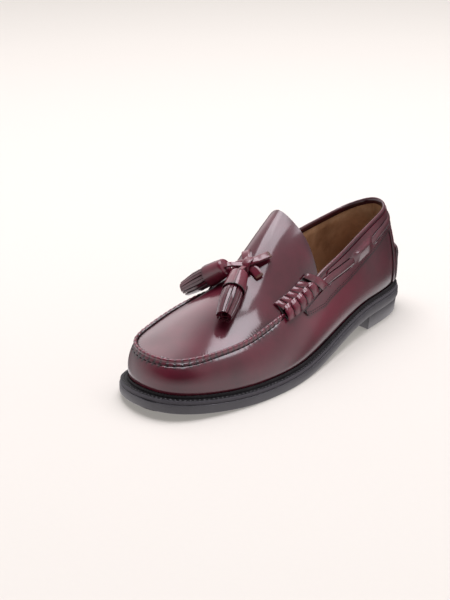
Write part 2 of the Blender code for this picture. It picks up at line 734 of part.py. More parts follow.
def build_knot(axes):
    """Two crossing straps and a thong to each tassel, joined into one piece."""
    place, out = apron_frame(*KNOT_PLACE)
    half = np.linalg.norm(apron(KNOT_PLACE[0], 1.0) - apron(KNOT_PLACE[0], -1.0)) / 2
    bars = []
    for rows in STRAP_ROWS:
        steps = np.linspace(0, 1, 7)
        shares = np.linspace(0, 1, len(rows))
        ride = np.stack([np.interp(steps, shares, column) for column in zip(*rows)], axis=1)
        station = KNOT_PLACE[0] - ride[:, 1] / SOLE_LENGTH
        across = KNOT_PLACE[1] + ride[:, 0] / half
        frames = [apron_frame(*at) for at in zip(station, across)]
        normals = np.array([frame[1] for frame in frames])
        points = np.array([frame[0] for frame in frames]) + normals * ride[:, 2:]
        bars.append((points, np.tile(out, (len(points), 1)), THONG_WIDTH))
    for start, along, _ in axes.values():
        points = np.linspace(place + out * KNOT_HEIGHT, start - along * THONG_END, 3)
        bars.append((points, np.tile(out, (3, 1)), 0.6 * THONG_WIDTH))
    pieces = []
    for i, bar in enumerate(bars):
        pieces.append(add_piece(f"knot_bar_{i}", "burgundy_leather", strap(*bar, THONG_THICK)))
    knot = pieces[0]
    for other in pieces[1:]:
        join = knot.modifiers.new("join", "BOOLEAN")
        join.operation = "UNION"
        join.solver = "EXACT"
        join.object = other
    bpy.context.view_layer.update()
    graph = bpy.context.evaluated_depsgraph_get()
    joined = bpy.data.meshes.new_from_object(knot.evaluated_get(graph))
    knot.modifiers.clear()
    knot.data = joined
    knot.name = "knot"
    for other in pieces[1:]:
        bpy.data.objects.remove(other, do_unlink=True)
    return knot


def main():
    for old in list(bpy.data.objects):
        bpy.data.objects.remove(old, do_unlink=True)
    build_outsole()
    build_heel()
    build_welt()
    build_insole()
    build_upper()
    build_apron()
    build_collar_band()
    build_laces()
    build_back_strip()
    build_heel_patch()
    build_braids()
    build_knot(build_tassels())


main()
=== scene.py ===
# %% [markdown]
# # A tassel loafer in burgundy leather, left shoe
# The imported model holds the plain solids of the shoe: sole, heel, welt, insole, the hollow upper, the apron
# with its tongue, and all that is sewn or tied on. This lesson dresses them: each solid is replaced by finer
# pieces in the same place. So it starts by loading the solids.
# Blender works in metres here, with the toe towards -Y and the outer side of the foot towards +X.

import math

import bmesh
import bpy
import numpy as np
from mathutils import Matrix, Quaternion, Vector


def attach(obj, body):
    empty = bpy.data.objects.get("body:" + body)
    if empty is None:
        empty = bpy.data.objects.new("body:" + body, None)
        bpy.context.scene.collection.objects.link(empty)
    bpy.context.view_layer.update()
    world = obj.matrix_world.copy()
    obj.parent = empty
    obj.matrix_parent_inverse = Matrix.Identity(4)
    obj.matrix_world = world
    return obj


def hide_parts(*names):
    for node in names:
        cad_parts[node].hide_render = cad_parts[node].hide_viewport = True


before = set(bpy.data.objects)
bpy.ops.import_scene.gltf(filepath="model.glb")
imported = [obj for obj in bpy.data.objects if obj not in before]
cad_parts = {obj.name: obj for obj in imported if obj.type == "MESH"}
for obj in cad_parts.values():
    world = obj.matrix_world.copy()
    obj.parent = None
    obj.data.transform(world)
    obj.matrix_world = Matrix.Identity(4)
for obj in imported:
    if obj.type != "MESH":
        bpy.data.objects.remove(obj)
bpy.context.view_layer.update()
print("solids:", len(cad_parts))

# %% [markdown]
# ## The last
# A shoe is built round a last, a wooden or plastic foot. Its shape is given here by sections round the foot,
# from heel to toe, a table for each side. The same numbers shaped the solids, so a piece made from them needs
# no fitting. All sizes in the tables are millimetres.

# %% Sizes of the last
MM = 0.001
TURN = 2 * math.pi
SOLE_LENGTH = 298.0
OUTSOLE_THICK = 6.5
HEEL_HEIGHT = 12.0
HEEL_LENGTH = 72.0
WELT_THICK = 3.0
WALL_THICK = 2.2
GAP = 0.3
TOE_SPRING = 6.0
SPRING_CURVE = 1.7
FOREFOOT_FLAT = (-78.0, -38.0)
HEEL_SEAT_FRONT = 90.0
# a station is a share of the sole's length, counted from the heel
STATION_THROAT = 0.45
STATION_RIDGE = (0.628, 0.665)
SEAM_RIDGE = {"width": 2.8, "height": 2.2}
COLLAR_EDGE = {"width": 1.6, "height": 0.6}
CROWN_LEAN = 0.053
# heights of the two points that bend the wall's section, as shares of its rise
BELLY_HEIGHT = 0.42
SHOULDER_HEIGHT = 0.82

# station along the sole from the heel, half-width of the sole, sole edge to the wall's foot,
# foot to top edge in plan, height of the top edge, swell of the lower wall, roundness of the upper wall
RING_COLUMNS = ("station", "edge", "margin", "inset", "top", "belly", "shoulder")
HEEL_ROW = (0.00, 0.0, 5.0, 8.0, 85.5, 4.5, 0.35)
TOE_ROW = (1.00, 0.0, 7.5, 8.0, 36.0, 2.5, 0.80)
LATERAL_ROWS = (
    (0.08, 30.5, 4.6, 7.5, 83.5, 4.5, 0.35),
    (0.16, 35.0, 4.2, 8.0, 80.0, 4.0, 0.35),
    (0.26, 37.0, 4.0, 7.0, 74.0, 3.0, 0.40),
    (0.36, 40.3, 4.0, 7.0, 68.0, 3.0, 0.45),
    (0.46, 45.0, 4.5, 9.5, 61.0, 3.0, 0.45),
    (0.56, 49.5, 5.0, 11.5, 49.8, 3.0, 0.45),
    (0.66, 52.0, 5.5, 14.5, 42.5, 3.2, 0.50),
    (0.75, 50.0, 6.0, 12.5, 39.0, 3.2, 0.60),
    (0.84, 43.8, 6.5, 10.3, 37.2, 3.0, 0.70),
    (0.92, 33.8, 7.0, 9.2, 36.2, 2.6, 0.80),
)
MEDIAL_ROWS = (
    (0.08, 30.0, 4.6, 7.5, 79.2, 4.5, 0.35),
    (0.16, 34.0, 4.2, 8.0, 76.5, 4.0, 0.35),
    (0.26, 33.5, 4.0, 6.0, 74.0, 3.5, 0.40),
    (0.36, 31.0, 3.5, 2.0, 69.8, 4.5, 0.45),
    (0.46, 31.5, 3.5, -0.5, 62.0, 5.5, 0.45),
    (0.56, 37.5, 4.0, 2.5, 52.5, 5.0, 0.45),
    (0.66, 45.5, 5.0, 7.0, 50.0, 4.0, 0.50),
    (0.75, 50.8, 6.0, 8.0, 46.8, 3.5, 0.60),
    (0.84, 51.8, 6.5, 6.4, 41.6, 3.0, 0.70),
    (0.92, 45.5, 7.0, 4.4, 38.2, 2.6, 0.80),
)
# the apron's crown over the line between its two seams: station, height, how far its top lies towards the
# inner side, squareness of its flanks
CROWN_COLUMNS = ("station", "rise", "lean", "fullness")
CROWN_ROWS = (
    (1.00, 0.0, 0.00, 0.0),
    (0.92, 2.5, 0.00, 0.0),
    (0.84, 6.0, 0.00, 0.0),
    (0.75, 9.5, 0.00, 0.0),
    (0.66, 15.5, 0.00, 0.0),
    (0.61, 22.5, 0.08, 0.0),
    (0.56, 31.0, 0.25, 0.1),
    (0.45, 38.0, 0.44, 0.7),
    (0.36, 43.0, 0.62, 1.2),
)
print("sections:", len(LATERAL_ROWS) + len(MEDIAL_ROWS) + 2)

# %% [markdown]
# ## Smooth curves through the tables
# A closed spline runs through each column of the table, once round the foot. Straight lines between the rows
# would show as flats in a glossy finish, so the curve keeps its bend steady from row to row.
# The place round the foot is an angle: 0 at the back of the heel, half a turn at the tip of the toe.


# %% Splines round the foot
def angle_of(station):
    return math.acos(1 - 2 * station)


def closed_spline(knots, values):
    """A closed curve through values at knots within one turn, smooth to its second derivative."""
    knots = np.asarray(knots)
    values = np.asarray(values)
    count = len(knots)
    steps = np.diff(np.append(knots, TURN))
    system = np.zeros((count, count))
    load = np.zeros(count)
    for i in range(count):
        before, after = steps[i - 1], steps[i]
        system[i, i - 1] += before
        system[i, i] += 2 * (before + after)
        system[i, (i + 1) % count] += after
        load[i] = 6 * ((values[(i + 1) % count] - values[i]) / after - (values[i] - values[i - 1]) / before)
    bends = np.linalg.solve(system, load)

    def curve(angle):
        angle = np.mod(angle, TURN)
        i = np.searchsorted(knots, angle, side="right") - 1
        j = (i + 1) % count
        step = steps[i]
        ahead = (angle - knots[i]) / step
        behind = 1 - ahead
        sag = ((behind**3 - behind) * bends[i] + (ahead**3 - ahead) * bends[j]) * step**2 / 6
        return behind * values[i] + ahead * values[j] + sag

    return curve


ring_rows = [(HEEL_ROW, 0.0, 1)]
ring_rows += [(row, angle_of(row[0]), 1) for row in LATERAL_ROWS]
ring_rows += [(TOE_ROW, math.pi, 1)]
ring_rows += [(row, TURN - angle_of(row[0]), -1) for row in reversed(MEDIAL_ROWS)]
RING = {}
for i, column in enumerate(RING_COLUMNS[1:], start=1):
    column_values = [row[i] * (side if column == "edge" else 1) for row, _, side in ring_rows]
    RING[column] = closed_spline([angle for _, angle, _ in ring_rows], column_values)

crown_rows = CROWN_ROWS + tuple(reversed(CROWN_ROWS[1:]))
crown_away = [math.pi - angle_of(row[0]) for row in CROWN_ROWS]
crown_knots = crown_away + [TURN - away for away in reversed(crown_away[1:])]
CROWN = {}
for i, column in enumerate(CROWN_COLUMNS[1:], start=1):
    CROWN[column] = closed_spline(crown_knots, [row[i] for row in crown_rows])
print("curves round the foot:", ", ".join(RING))

# %% [markdown]
# ## The surfaces of the shoe
# The wall rises from the sole's edge to the collar and the apron seam, and its section is one smooth curve.
# The apron is a crowned sheet between the two sides of the seam. A modelled surface with Shrinkwrap modifiers
# could carry the parts too. Plain functions of a place on the shoe were chosen, because they also give the
# point at an exact depth below the collar, which everything that is sewn on needs.


# %% The sole as functions
def smooth_step(low, high, value):
    share = np.clip((value - low) / (high - low), 0, 1)
    return share * share * (3 - 2 * share)


def unit(vectors):
    return vectors / np.linalg.norm(vectors, axis=-1, keepdims=True)


def stack(*parts):
    return np.stack(np.broadcast_arrays(*parts), axis=-1)


def station_of(angle):
    return (1 - np.cos(angle)) / 2


def tread_height(y):
    """Underside of the outsole: flat forefoot, sprung toe, raised from the arch to the heel seat."""
    spring = np.clip((FOREFOOT_FLAT[0] - y) / (FOREFOOT_FLAT[0] + SOLE_LENGTH / 2), 0, 1)
    arch = smooth_step(FOREFOOT_FLAT[1], HEEL_SEAT_FRONT, y)
    return TOE_SPRING * spring**SPRING_CURVE + (HEEL_HEIGHT + GAP) * arch


def seat_height(y):
    return tread_height(y) + OUTSOLE_THICK


def foot_height(y):
    return seat_height(y) + WELT_THICK + 2 * GAP


def sole_edge(angle, inset=0.0):
    """Plan outline of the sole, moved in along its normal, and that normal."""
    def at(a):
        return stack(RING["edge"](a), SOLE_LENGTH / 2 * np.cos(a))

    along = unit(at(angle + 1e-4) - at(angle - 1e-4))
    inward = stack(along[..., 1], -along[..., 0])
    return at(angle) + np.expand_dims(np.broadcast_to(inset, np.shape(angle)), -1) * inward, inward


print("heel seat above the floor in mm:", round(float(seat_height(SOLE_LENGTH / 2)), 1))


# %% The wall as functions
def ridge_share(angle):
    """1 along the apron's raised seam, 0 under the braids and round the collar."""
    return smooth_step(*STATION_RIDGE, station_of(angle))


def wall_section(angle):
    """Four points that guide the wall's section, as distance inwards and height."""
    foot, _ = sole_edge(angle, RING["margin"](angle))
    low = foot_height(foot[..., 1])
    rise = RING["top"](angle) - low
    inset = RING["inset"](angle)
    return (
        stack(0 * low, low),
        stack(-RING["belly"](angle), low + BELLY_HEIGHT * rise),
        stack(inset * (1 - RING["shoulder"](angle)), low + SHOULDER_HEIGHT * rise),
        stack(inset, low + rise),
    )


def in_space(angle, section):
    """A point of a section, as distance inwards from the wall's foot and height, in space."""
    foot, inward = sole_edge(angle, RING["margin"](angle))
    plan = foot + section[..., :1] * inward
    return stack(plan[..., 0], plan[..., 1], section[..., 1])


def wall_curve(angle, share):
    """The wall's outer face in its section, share 0 at the foot and 1 at the top."""
    a, b, c, d = wall_section(angle)
    t = np.expand_dims(np.broadcast_to(share, np.shape(angle)), -1)
    return (1 - t) ** 3 * a + 3 * (1 - t) ** 2 * t * b + 3 * (1 - t) * t * t * c + t**3 * d


def wall_inward(angle, share):
    """Unit normal of the section, towards the foot."""
    above = wall_curve(angle, np.minimum(share + 1e-3, 1))
    below = wall_curve(angle, np.maximum(share - 1e-3, 0))
    along = unit(above - below)
    return stack(along[..., 1], -along[..., 0])


print("collar height at the heel in mm:", round(float(RING["top"](0.0)), 1))


# %% Lip, depths and apron as functions
def lip_frame(angle):
    """Run and stand of the lip over the wall's top edge, with its width and height."""
    _, _, c, d = wall_section(angle)
    run = unit(unit(d - c) + np.array((1.0, 0.0)))
    stand = stack(-run[..., 1], run[..., 0])
    ridge = ridge_share(angle)
    width = COLLAR_EDGE["width"] + (SEAM_RIDGE["width"] - COLLAR_EDGE["width"]) * ridge
    height = COLLAR_EDGE["height"] + (SEAM_RIDGE["height"] - COLLAR_EDGE["height"]) * ridge
    return d, run, stand, np.expand_dims(width, -1), np.expand_dims(height, -1)


def lip_curve(angle, share):
    """The rounded lip, share 0 at the wall's top edge and 1 where the apron or the lining starts."""
    start, run, stand, width, height = lip_frame(angle)
    bend = math.pi * share
    return start + run * width * (1 - math.cos(bend)) / 2 + stand * height * math.sin(bend)


def run_lengths(line):
    """Length along a line of points, from its first point to each."""
    return np.append(0, np.cumsum(np.linalg.norm(np.diff(line, axis=0), axis=1)))


def shares_at_depth(angles, depths):
    """Shares of the wall's section at depths below its top edge, a row of depths for each angle."""
    shares = np.linspace(1, 0, 80)
    rows = []
    for angle, row in zip(angles, depths):
        lengths = run_lengths(wall_curve(np.full(shares.shape, angle), shares))
        rows.append(np.interp(row, lengths, shares))
    return np.array(rows)


def share_below(angles, depth):
    """Share of the wall's section at one depth below its top edge, for each angle."""
    return shares_at_depth(angles, np.broadcast_to(depth, angles.shape)[:, None])[:, 0]


def wall_at_depth(angles, depths):
    shares = shares_at_depth(angles, depths)
    around = angles[:, None] + 0 * shares
    return in_space(around, wall_curve(around, shares))


def apron(station, across):
    """The apron's outer face: across runs from -1 at the medial seam to 1 at the lateral one."""
    away = math.pi - np.arccos(1 - 2 * np.asarray(station))
    lateral = in_space(math.pi - away, lip_curve(math.pi - away, 1.0))
    medial = in_space(math.pi + away, lip_curve(math.pi + away, 1.0))
    rise = CROWN["rise"](away)
    lift = stack(0 * rise, CROWN_LEAN * rise, rise)
    across = np.broadcast_to(across, rise.shape)
    arch = (1 - across**2) * (1 - CROWN["lean"](away) * across + CROWN["fullness"](away) * across**2)
    flat = (lateral + medial) / 2 + (lateral - medial) / 2 * np.expand_dims(across, -1)
    return flat + lift * np.expand_dims(arch, -1)


def normals_of(points, closed=False):
    """Unit normals of a table of points from its two directions; closed joins its last row to its first."""
    if closed:
        points = np.concatenate([points[-2:-1], points, points[1:2]])
    normals = unit(np.cross(np.gradient(points, axis=0), np.gradient(points, axis=1)))
    return normals[1:-1] if closed else normals


def raised(points, height, closed=False):
    """A table of points moved out along its own normals by a height in millimetres."""
    return points + normals_of(points, closed) * np.expand_dims(height, -1)


print("middle of the tongue's free edge in mm:", round(float(apron(STATION_THROAT, 0.0)[2]), 1))

# %% [markdown]
# ## From points to a piece
# A sheet of leather starts as a flat grid, which is then laid over a table of points, the way a cutter's
# panel is pulled over the last. Writing out vertices and faces would work too, but the grid operator already
# knows how they join. A Solidify modifier then gives the sheet its thickness, and a Bevel modifier rounds its
# cut edge. Each vertex also keeps a number for burnish and painted shade, which the leather reads to darken
# edges, and to darken folds, creases, recesses and the gaps between parts as painted shade.


# %% Lay a grid, finish a piece
def lay(points, burnish_and_shade=0.0, closed=False):
    """A grid of faces laid over a table of points in millimetres; closed welds the edges that meet."""
    rows, columns = points.shape[:2]
    tone = np.broadcast_to(burnish_and_shade, (rows, columns))
    shape = bmesh.new()
    tone_layer = shape.verts.layers.float.new("burnish_and_shade")
    row_layer = shape.verts.layers.int.new("row")
    column_layer = shape.verts.layers.int.new("column")
    bmesh.ops.create_grid(shape, x_segments=rows - 1, y_segments=columns - 1, size=0.5)
    for vert in shape.verts:
        vert[row_layer] = round((vert.co.x + 0.5) * (rows - 1))
        vert[column_layer] = round((vert.co.y + 0.5) * (columns - 1))
        vert.co = points[vert[row_layer], vert[column_layer]] * MM
        vert[tone_layer] = tone[vert[row_layer], vert[column_layer]]
    if closed:
        bmesh.ops.remove_doubles(shape, verts=shape.verts, dist=1e-6)
    return shape


def slab(back, face, burnish_and_shade=0.0):
    """A closed block between two tables of points with the same rows and columns."""
    shape = lay(back, burnish_and_shade)
    row_layer = shape.verts.layers.int["row"]
    column_layer = shape.verts.layers.int["column"]
    made = bmesh.ops.extrude_face_region(shape, geom=shape.faces[:], use_keep_orig=True)
    for item in made["geom"]:
        if isinstance(item, bmesh.types.BMVert):
            item.co = face[item[row_layer], item[column_layer]] * MM
    bmesh.ops.remove_doubles(shape, verts=shape.verts, dist=1e-6)
    bmesh.ops.recalc_face_normals(shape, faces=shape.faces)
    return shape


def make(name, shape, finish, stands_for=(), thick=0.0, edge=0.0, sharp=50):
    """Turns a bmesh into a piece of the shoe; thick and edge, in mm, add thickness and a rounded cut edge."""
    mesh = bpy.data.meshes.new(name)
    shape.to_mesh(mesh)
    shape.free()
    mesh.materials.append(finish)
    mesh.shade_smooth()
    mesh.set_sharp_from_angle(angle=math.radians(sharp))
    piece = bpy.data.objects.new(name, mesh)
    bpy.context.scene.collection.objects.link(piece)
    if thick:
        wall = piece.modifiers.new("thickness", "SOLIDIFY")
        wall.thickness = thick * MM
        wall.offset = -1
    if edge:
        rounding = piece.modifiers.new("cut edge", "BEVEL")
        rounding.width = edge * MM
        rounding.segments = 2
        rounding.limit_method = "ANGLE"
        rounding.angle_limit = math.radians(sharp)
        rounding.harden_normals = True
    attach(piece, "root")
    if stands_for:
        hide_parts(*stands_for)
    print(f"{name}: {len(mesh.polygons)} faces")
    return piece


# %% [markdown]
# ## Finishes
# Every material is a small node tree on a Principled shader. Colours are given as sRGB hex values, as a
# colour picker shows them, and the shader wants linear light, so one function turns them. Patterns read
# Object coordinates: all pieces sit at the origin, so a grain runs on from panel to panel at the same size.


# %% Colour and node helpers
def linear(hex_colour):
    """An sRGB hex colour as linear red, green, blue and alpha."""
    shares = [int(hex_colour[i : i + 2], 16) / 255 for i in (1, 3, 5)]
    return [c / 12.92 if c <= 0.04045 else ((c + 0.055) / 1.055) ** 2.4 for c in shares] + [1.0]


def add_node(tree, kind, settings, links=()):
    """Adds a node, sets its properties or inputs by name, and links (input, output) pairs into it."""
    node = tree.nodes.new(kind)
    for name, value in settings.items():
        if isinstance(name, int) or name in node.inputs:
            node.inputs[name].default_value = value
        else:
            setattr(node, name, value)
    for name, source in links:
        tree.links.new(source, node.inputs[name])
    return node


def new_material(name):
    """An empty material with a Principled shader, and its tree, shader and Object coordinates."""
    material = bpy.data.materials.new(name)
    material.use_nodes = True
    tree = material.node_tree
    place = add_node(tree, "ShaderNodeTexCoord", {})
    return material, tree, tree.nodes["Principled BSDF"], place.outputs["Object"]


def per_metre(size_mm):
    """Scale of a pattern whose marks are size_mm apart."""
    return 1 / (size_mm * MM)


print("burgundy in linear light:", [round(c, 3) for c in linear("#66182c")])

# %% [markdown]
# ## Brushed-off calf
# The leather is calf that was sprayed dark over a red base, brushed off by hand and sealed with a hard
# lacquer. The eye gets deep red in the middle of each panel, plum at edges and folds, and clear reflections.
# The plum in folds, creases and recesses is painted shade, and the redder middle of each side is painted
# light.
# A Principled shader with a coat gives both layers: a half-matt red below and a lacquer above.


# %% Burgundy leather
def burgundy_leather(name, red, plum):
    """Lacquered calf: red under a plum spray in clouds 26 mm across, with a 1.1 mm grain."""
    material, tree, shader, place = new_material(name)
    # A vertex attribute carries burnish at edges and painted shade in folds, creases and recesses; both mix
    # in plum
    burnish_and_shade = add_node(tree, "ShaderNodeAttribute", {"attribute_name": "burnish_and_shade"})
    clouds = add_node(
        tree,
        "ShaderNodeTexNoise",
        {"Scale": per_metre(26), "Detail": 3.0, "Roughness": 0.55},
        [("Vector", place)],
    )
    drift = add_node(
        tree,
        "ShaderNodeMapRange",
        {"From Min": 0.3, "From Max": 0.7, "To Min": 0.46, "To Max": 0.74},
        [("Value", clouds.outputs["Fac"])],
    )
    amount = add_node(
        tree,
        "ShaderNodeMath",
        {"operation": "MULTIPLY_ADD", "use_clamp": True, 1: 0.45},
        [(0, burnish_and_shade.outputs["Fac"]), (2, drift.outputs["Result"])],
    )
    colour = add_node(
        tree,
        "ShaderNodeMix",
        {"data_type": "RGBA", 6: linear(red), 7: linear(plum)},
        [(0, amount.outputs["Value"])],
    )
    # Calf pores are about 0.2 mm apart, too fine for the picture, so the grain is drawn at 1.1 mm
    grain = add_node(
        tree,
        "ShaderNodeTexVoronoi",
        {"Scale": per_metre(1.1)},
        [("Vector", place)],
    )
    relief = add_node(
        tree,
        "ShaderNodeBump",
        {"Strength": 0.10, "Distance": 0.0002},
        [("Height", grain.outputs["Distance"])],
    )
    tree.links.new(colour.outputs[2], shader.inputs["Base Color"])
    tree.links.new(relief.outputs["Normal"], shader.inputs["Normal"])
    shader.inputs["Roughness"].default_value = 0.34
    shader.inputs["Specular IOR Level"].default_value = 0.12
    shader.inputs["Coat Weight"].default_value = 0.9
    shader.inputs["Coat Roughness"].default_value = 0.13
    shader.inputs["Coat IOR"].default_value = 1.55
    return material


calf = burgundy_leather("brushed_off_calf_burgundy", "#66182c", "#1b070c")
# Thongs and tassel caps look a clearer red than the panels, so they get a lighter pair of the same colours
thong_calf = burgundy_leather("thong_calf_red", "#7e2138", "#22080e")
print("leather:", calf.name)

# %% [markdown]
# ## Sole rubber, welt, lining and thread
# The sole is moulded rubber, dark grey with a soft sheen. The welt is black waxed leather board. The lining
# is tan vegetable-tanned leather, matt with open pores, paler at the collar and darker deep inside as painted
# shade.
# Thread is waxed polyester: too thin for a twist to show, so it only gets a soft gloss.
# Each has two tones and a fine grain, so one function with different values makes them all.


# %% Plain finishes with their grain
def grained(name, pale, dark, cloud_mm, grain_mm, relief, roughness, shine=0.5, inked=None):
    """Two tones in clouds of cloud_mm with a grain of grain_mm; inked is the colour where the burnish and
    painted shade attribute is 1.
    """
    material, tree, shader, place = new_material(name)
    clouds = add_node(
        tree,
        "ShaderNodeTexNoise",
        {"Scale": per_metre(cloud_mm), "Detail": 4.0, "Roughness": 0.6},
        [("Vector", place)],
    )
    tone = add_node(
        tree,
        "ShaderNodeMapRange",
        {"From Min": 0.32, "From Max": 0.68},
        [("Value", clouds.outputs["Fac"])],
    )
    # The vertex attribute darkens the colour: edge colour on the welt, painted shade deep inside the lining
    burnish_and_shade = add_node(tree, "ShaderNodeAttribute", {"attribute_name": "burnish_and_shade"})
    amount = add_node(
        tree,
        "ShaderNodeMath",
        {"operation": "MAXIMUM", "use_clamp": True},
        [(0, tone.outputs["Result"]), (1, burnish_and_shade.outputs["Fac"])],
    )
    colour = add_node(
        tree,
        "ShaderNodeMix",
        {"data_type": "RGBA", 6: linear(pale), 7: linear(dark)},
        [(0, amount.outputs["Value"])],
    )
    if inked:
        colour = add_node(
            tree,
            "ShaderNodeMix",
            {"data_type": "RGBA", 7: linear(inked)},
            [(0, burnish_and_shade.outputs["Fac"]), (6, colour.outputs[2])],
        )
    grain = add_node(
        tree,
        "ShaderNodeTexNoise",
        {"Scale": per_metre(grain_mm), "Detail": 2.0},
        [("Vector", place)],
    )
    bump = add_node(
        tree,
        "ShaderNodeBump",
        {"Strength": relief, "Distance": 0.0003},
        [("Height", grain.outputs["Fac"])],
    )
    tree.links.new(colour.outputs[2], shader.inputs["Base Color"])
    tree.links.new(bump.outputs["Normal"], shader.inputs["Normal"])
    shader.inputs["Roughness"].default_value = roughness
    shader.inputs["Specular IOR Level"].default_value = shine
    return material


# Pores and fibres are too fine for the picture, so every grain is drawn at 0.5 to 0.9 mm
sole_rubber = grained("moulded_rubber_dark_grey", "#3a383d", "#2e2c31", 18, 0.9, 0.12, 0.42)
welt_board = grained(
    "waxed_leather_board_black", "#1d1b1d", "#121113", 9, 0.8, 0.35, 0.5, shine=0.14, inked="#454348"
)
lining_calf = grained("vegetable_tanned_lining_tan", "#dcb48c", "#97704e", 30, 0.9, 0.35, 0.62)
sock_leather = grained("insole_leather_red_brown", "#5c2f20", "#3c1a14", 24, 0.9, 0.3, 0.55)
waxed_thread = grained("waxed_thread_plum", "#1c0a0e", "#10060a", 6, 0.6, 0.2, 0.6, shine=0.15)
welt_thread = grained("waxed_thread_black", "#2b292c", "#1b1a1c", 6, 0.6, 0.2, 0.4)
raw_edge = grained("cut_leather_edge_brown", "#5a2a1c", "#3a1711", 5, 0.5, 0.3, 0.6)
print("plain finishes: sole, welt, lining, insole, threads, cut edge")

# %% [markdown]
# ## Outsole and heel
# The outsole is a slab with the outline of the last, sprung at the toe and raised over the arch, and the heel
# is a block under it with a hollowed breast. Extruding the outline and bevelling its rim is how the part
# would be drawn by hand, and the bevel catches the thin light line along the real sole's top corner.


# %% Mould the outsole and the heel
def across_sole(angles, inset, columns, height):
    """A table of points across the sole, lateral to medial, at heights that follow its length."""
    lateral, _ = sole_edge(angles, inset)
    medial, _ = sole_edge(TURN - angles, inset)
    plan = np.stack([(lateral * (1 + c) + medial * (1 - c)) / 2 for c in columns], axis=1)
    return stack(plan[..., 0], plan[..., 1], height(plan[..., 1]))


RIM_ANGLE = 1.0
LEVEL_NORMAL = 0.7


def round_rim(shape, offset_mm, segments):
    """Bevels the edges where the flat faces of a slab turn into its sides."""
    rim = [edge for edge in shape.edges if edge.is_manifold and edge.calc_face_angle(0) > RIM_ANGLE]
    rim = [edge for edge in rim if any(abs(face.normal.z) > LEVEL_NORMAL for face in edge.link_faces)]
    bmesh.ops.bevel(
        shape, geom=rim, offset=offset_mm * MM, segments=segments, affect="EDGES", profile=0.5, material=-1
    )


outline = np.linspace(0, math.pi, 121)
sole_columns = np.linspace(1, -1, 9)
under = across_sole(outline, 0.0, sole_columns, tread_height)
over = across_sole(outline, 0.0, sole_columns, seat_height)
sole_shape = slab(under, over)
round_rim(sole_shape, offset_mm=0.7, segments=3)
make("moulded_outsole", sole_shape, sole_rubber, ["outsole"], sharp=60)

HEEL_FOOT_INSET = 2.6
HEEL_TOP_INSET = 1.0
BREAST_HOLLOW = 5.0
breast_angle = math.acos(1 - 2 * HEEL_LENGTH / SOLE_LENGTH)
heel_angles = np.linspace(0, breast_angle, 49)
heel_columns = np.linspace(1, -1, 25)
hollow = BREAST_HOLLOW * (1 - heel_columns**2) * np.linspace(0, 1, len(heel_angles))[:, None] ** 2


def heel_layer(inset, height):
    layer = across_sole(heel_angles, inset, heel_columns, np.zeros_like)
    layer[..., 1] += hollow
    layer[..., 2] = height(layer[..., 1])
    return layer


heel_shape = slab(heel_layer(HEEL_FOOT_INSET, np.zeros_like), heel_layer(HEEL_TOP_INSET, tread_height))
round_rim(heel_shape, offset_mm=0.5, segments=2)
make("heel_block", heel_shape, sole_rubber, ["heel"], sharp=60)

# %% [markdown]
# ## Welt and its stitches
# The welt is the black strip that joins upper and sole. Its outer flat carries a row of stitches, and a rib
# stands up against the leather to keep water out. A wheel has pressed notches into the rib. A curve with a
# bevel object would sweep the strip, but not the notches. Here one closed section is swept round the foot as
# a table of points, and the notches are a ripple in its height.


# %% Sweep the welt
WELT_SETBACK = 0.8
RIB_HEIGHT = 2.4
RIB_THICK = 1.4
RIB_CLEARANCE = 0.5
NOTCH_PITCH = 2.9
NOTCH_DEEP = 0.22
FLAT_RIPPLE = 0.06

welt_angles = np.linspace(0, TURN, 1441)
edge_line, _ = sole_edge(welt_angles)
edge_run = run_lengths(edge_line)
notches = round(edge_run[-1] / NOTCH_PITCH)
ripple = np.cos(TURN * notches * edge_run / edge_run[-1])
margin = RING["margin"](welt_angles)
rib_in = margin - RIB_CLEARANCE
rib_out = np.maximum(rib_in - RIB_THICK, WELT_SETBACK + RIB_CLEARANCE)
rib_top = WELT_THICK + RIB_HEIGHT + NOTCH_DEEP * ripple
flat_middle = 0.5 * (WELT_SETBACK + rib_out)
# the section, up the outer edge, over the rib and down inside: distance in from the sole's edge, height
welt_outline = (
    (WELT_SETBACK + 0.3, 0.0),
    (WELT_SETBACK, 0.3),
    (WELT_SETBACK, WELT_THICK - 0.4),
    (WELT_SETBACK + 0.4, WELT_THICK + FLAT_RIPPLE * ripple),
    (flat_middle, WELT_THICK - 0.25),
    (rib_out, WELT_THICK + 0.1 + FLAT_RIPPLE * ripple),
    (rib_out + 0.05, 0.5 * (WELT_THICK + rib_top)),
    (rib_out + 0.4, rib_top - 0.15),
    (0.5 * (rib_out + rib_in), rib_top),
    (rib_in - 0.3, rib_top - 0.15),
    (rib_in, WELT_THICK + 0.3),
    (margin + WALL_THICK, WELT_THICK),
    (margin + WALL_THICK, 0.0),
)
# ink on the last four lines laid, which are the welt's outer edge
EDGE_INK = (0.2, 1.0, 1.0, 1.0)


def welt_line(inset, lift):
    plan, _ = sole_edge(welt_angles, inset)
    return stack(plan[:, 0], plan[:, 1], seat_height(plan[:, 1]) + lift)


welt_lines = [welt_line(inset, lift) for inset, lift in reversed(welt_outline + welt_outline[:1])]
# The welt's outer edge shows the sole's grey, so it is inked in that tone
welt_tone = np.zeros(len(welt_lines))
welt_tone[-len(EDGE_INK) :] = EDGE_INK
welt_shape = lay(np.stack(welt_lines, axis=1), welt_tone, closed=True)
bmesh.ops.recalc_face_normals(welt_shape, faces=welt_shape.faces)
make("storm_welt", welt_shape, welt_board, ["welt"], sharp=70)


# %% Sew the welt
def point_along(run, table, where):
    """A row of a table of points or normals, read at a length along its run."""
    return np.array([np.interp(where, run, table[:, axis]) for axis in range(3)])


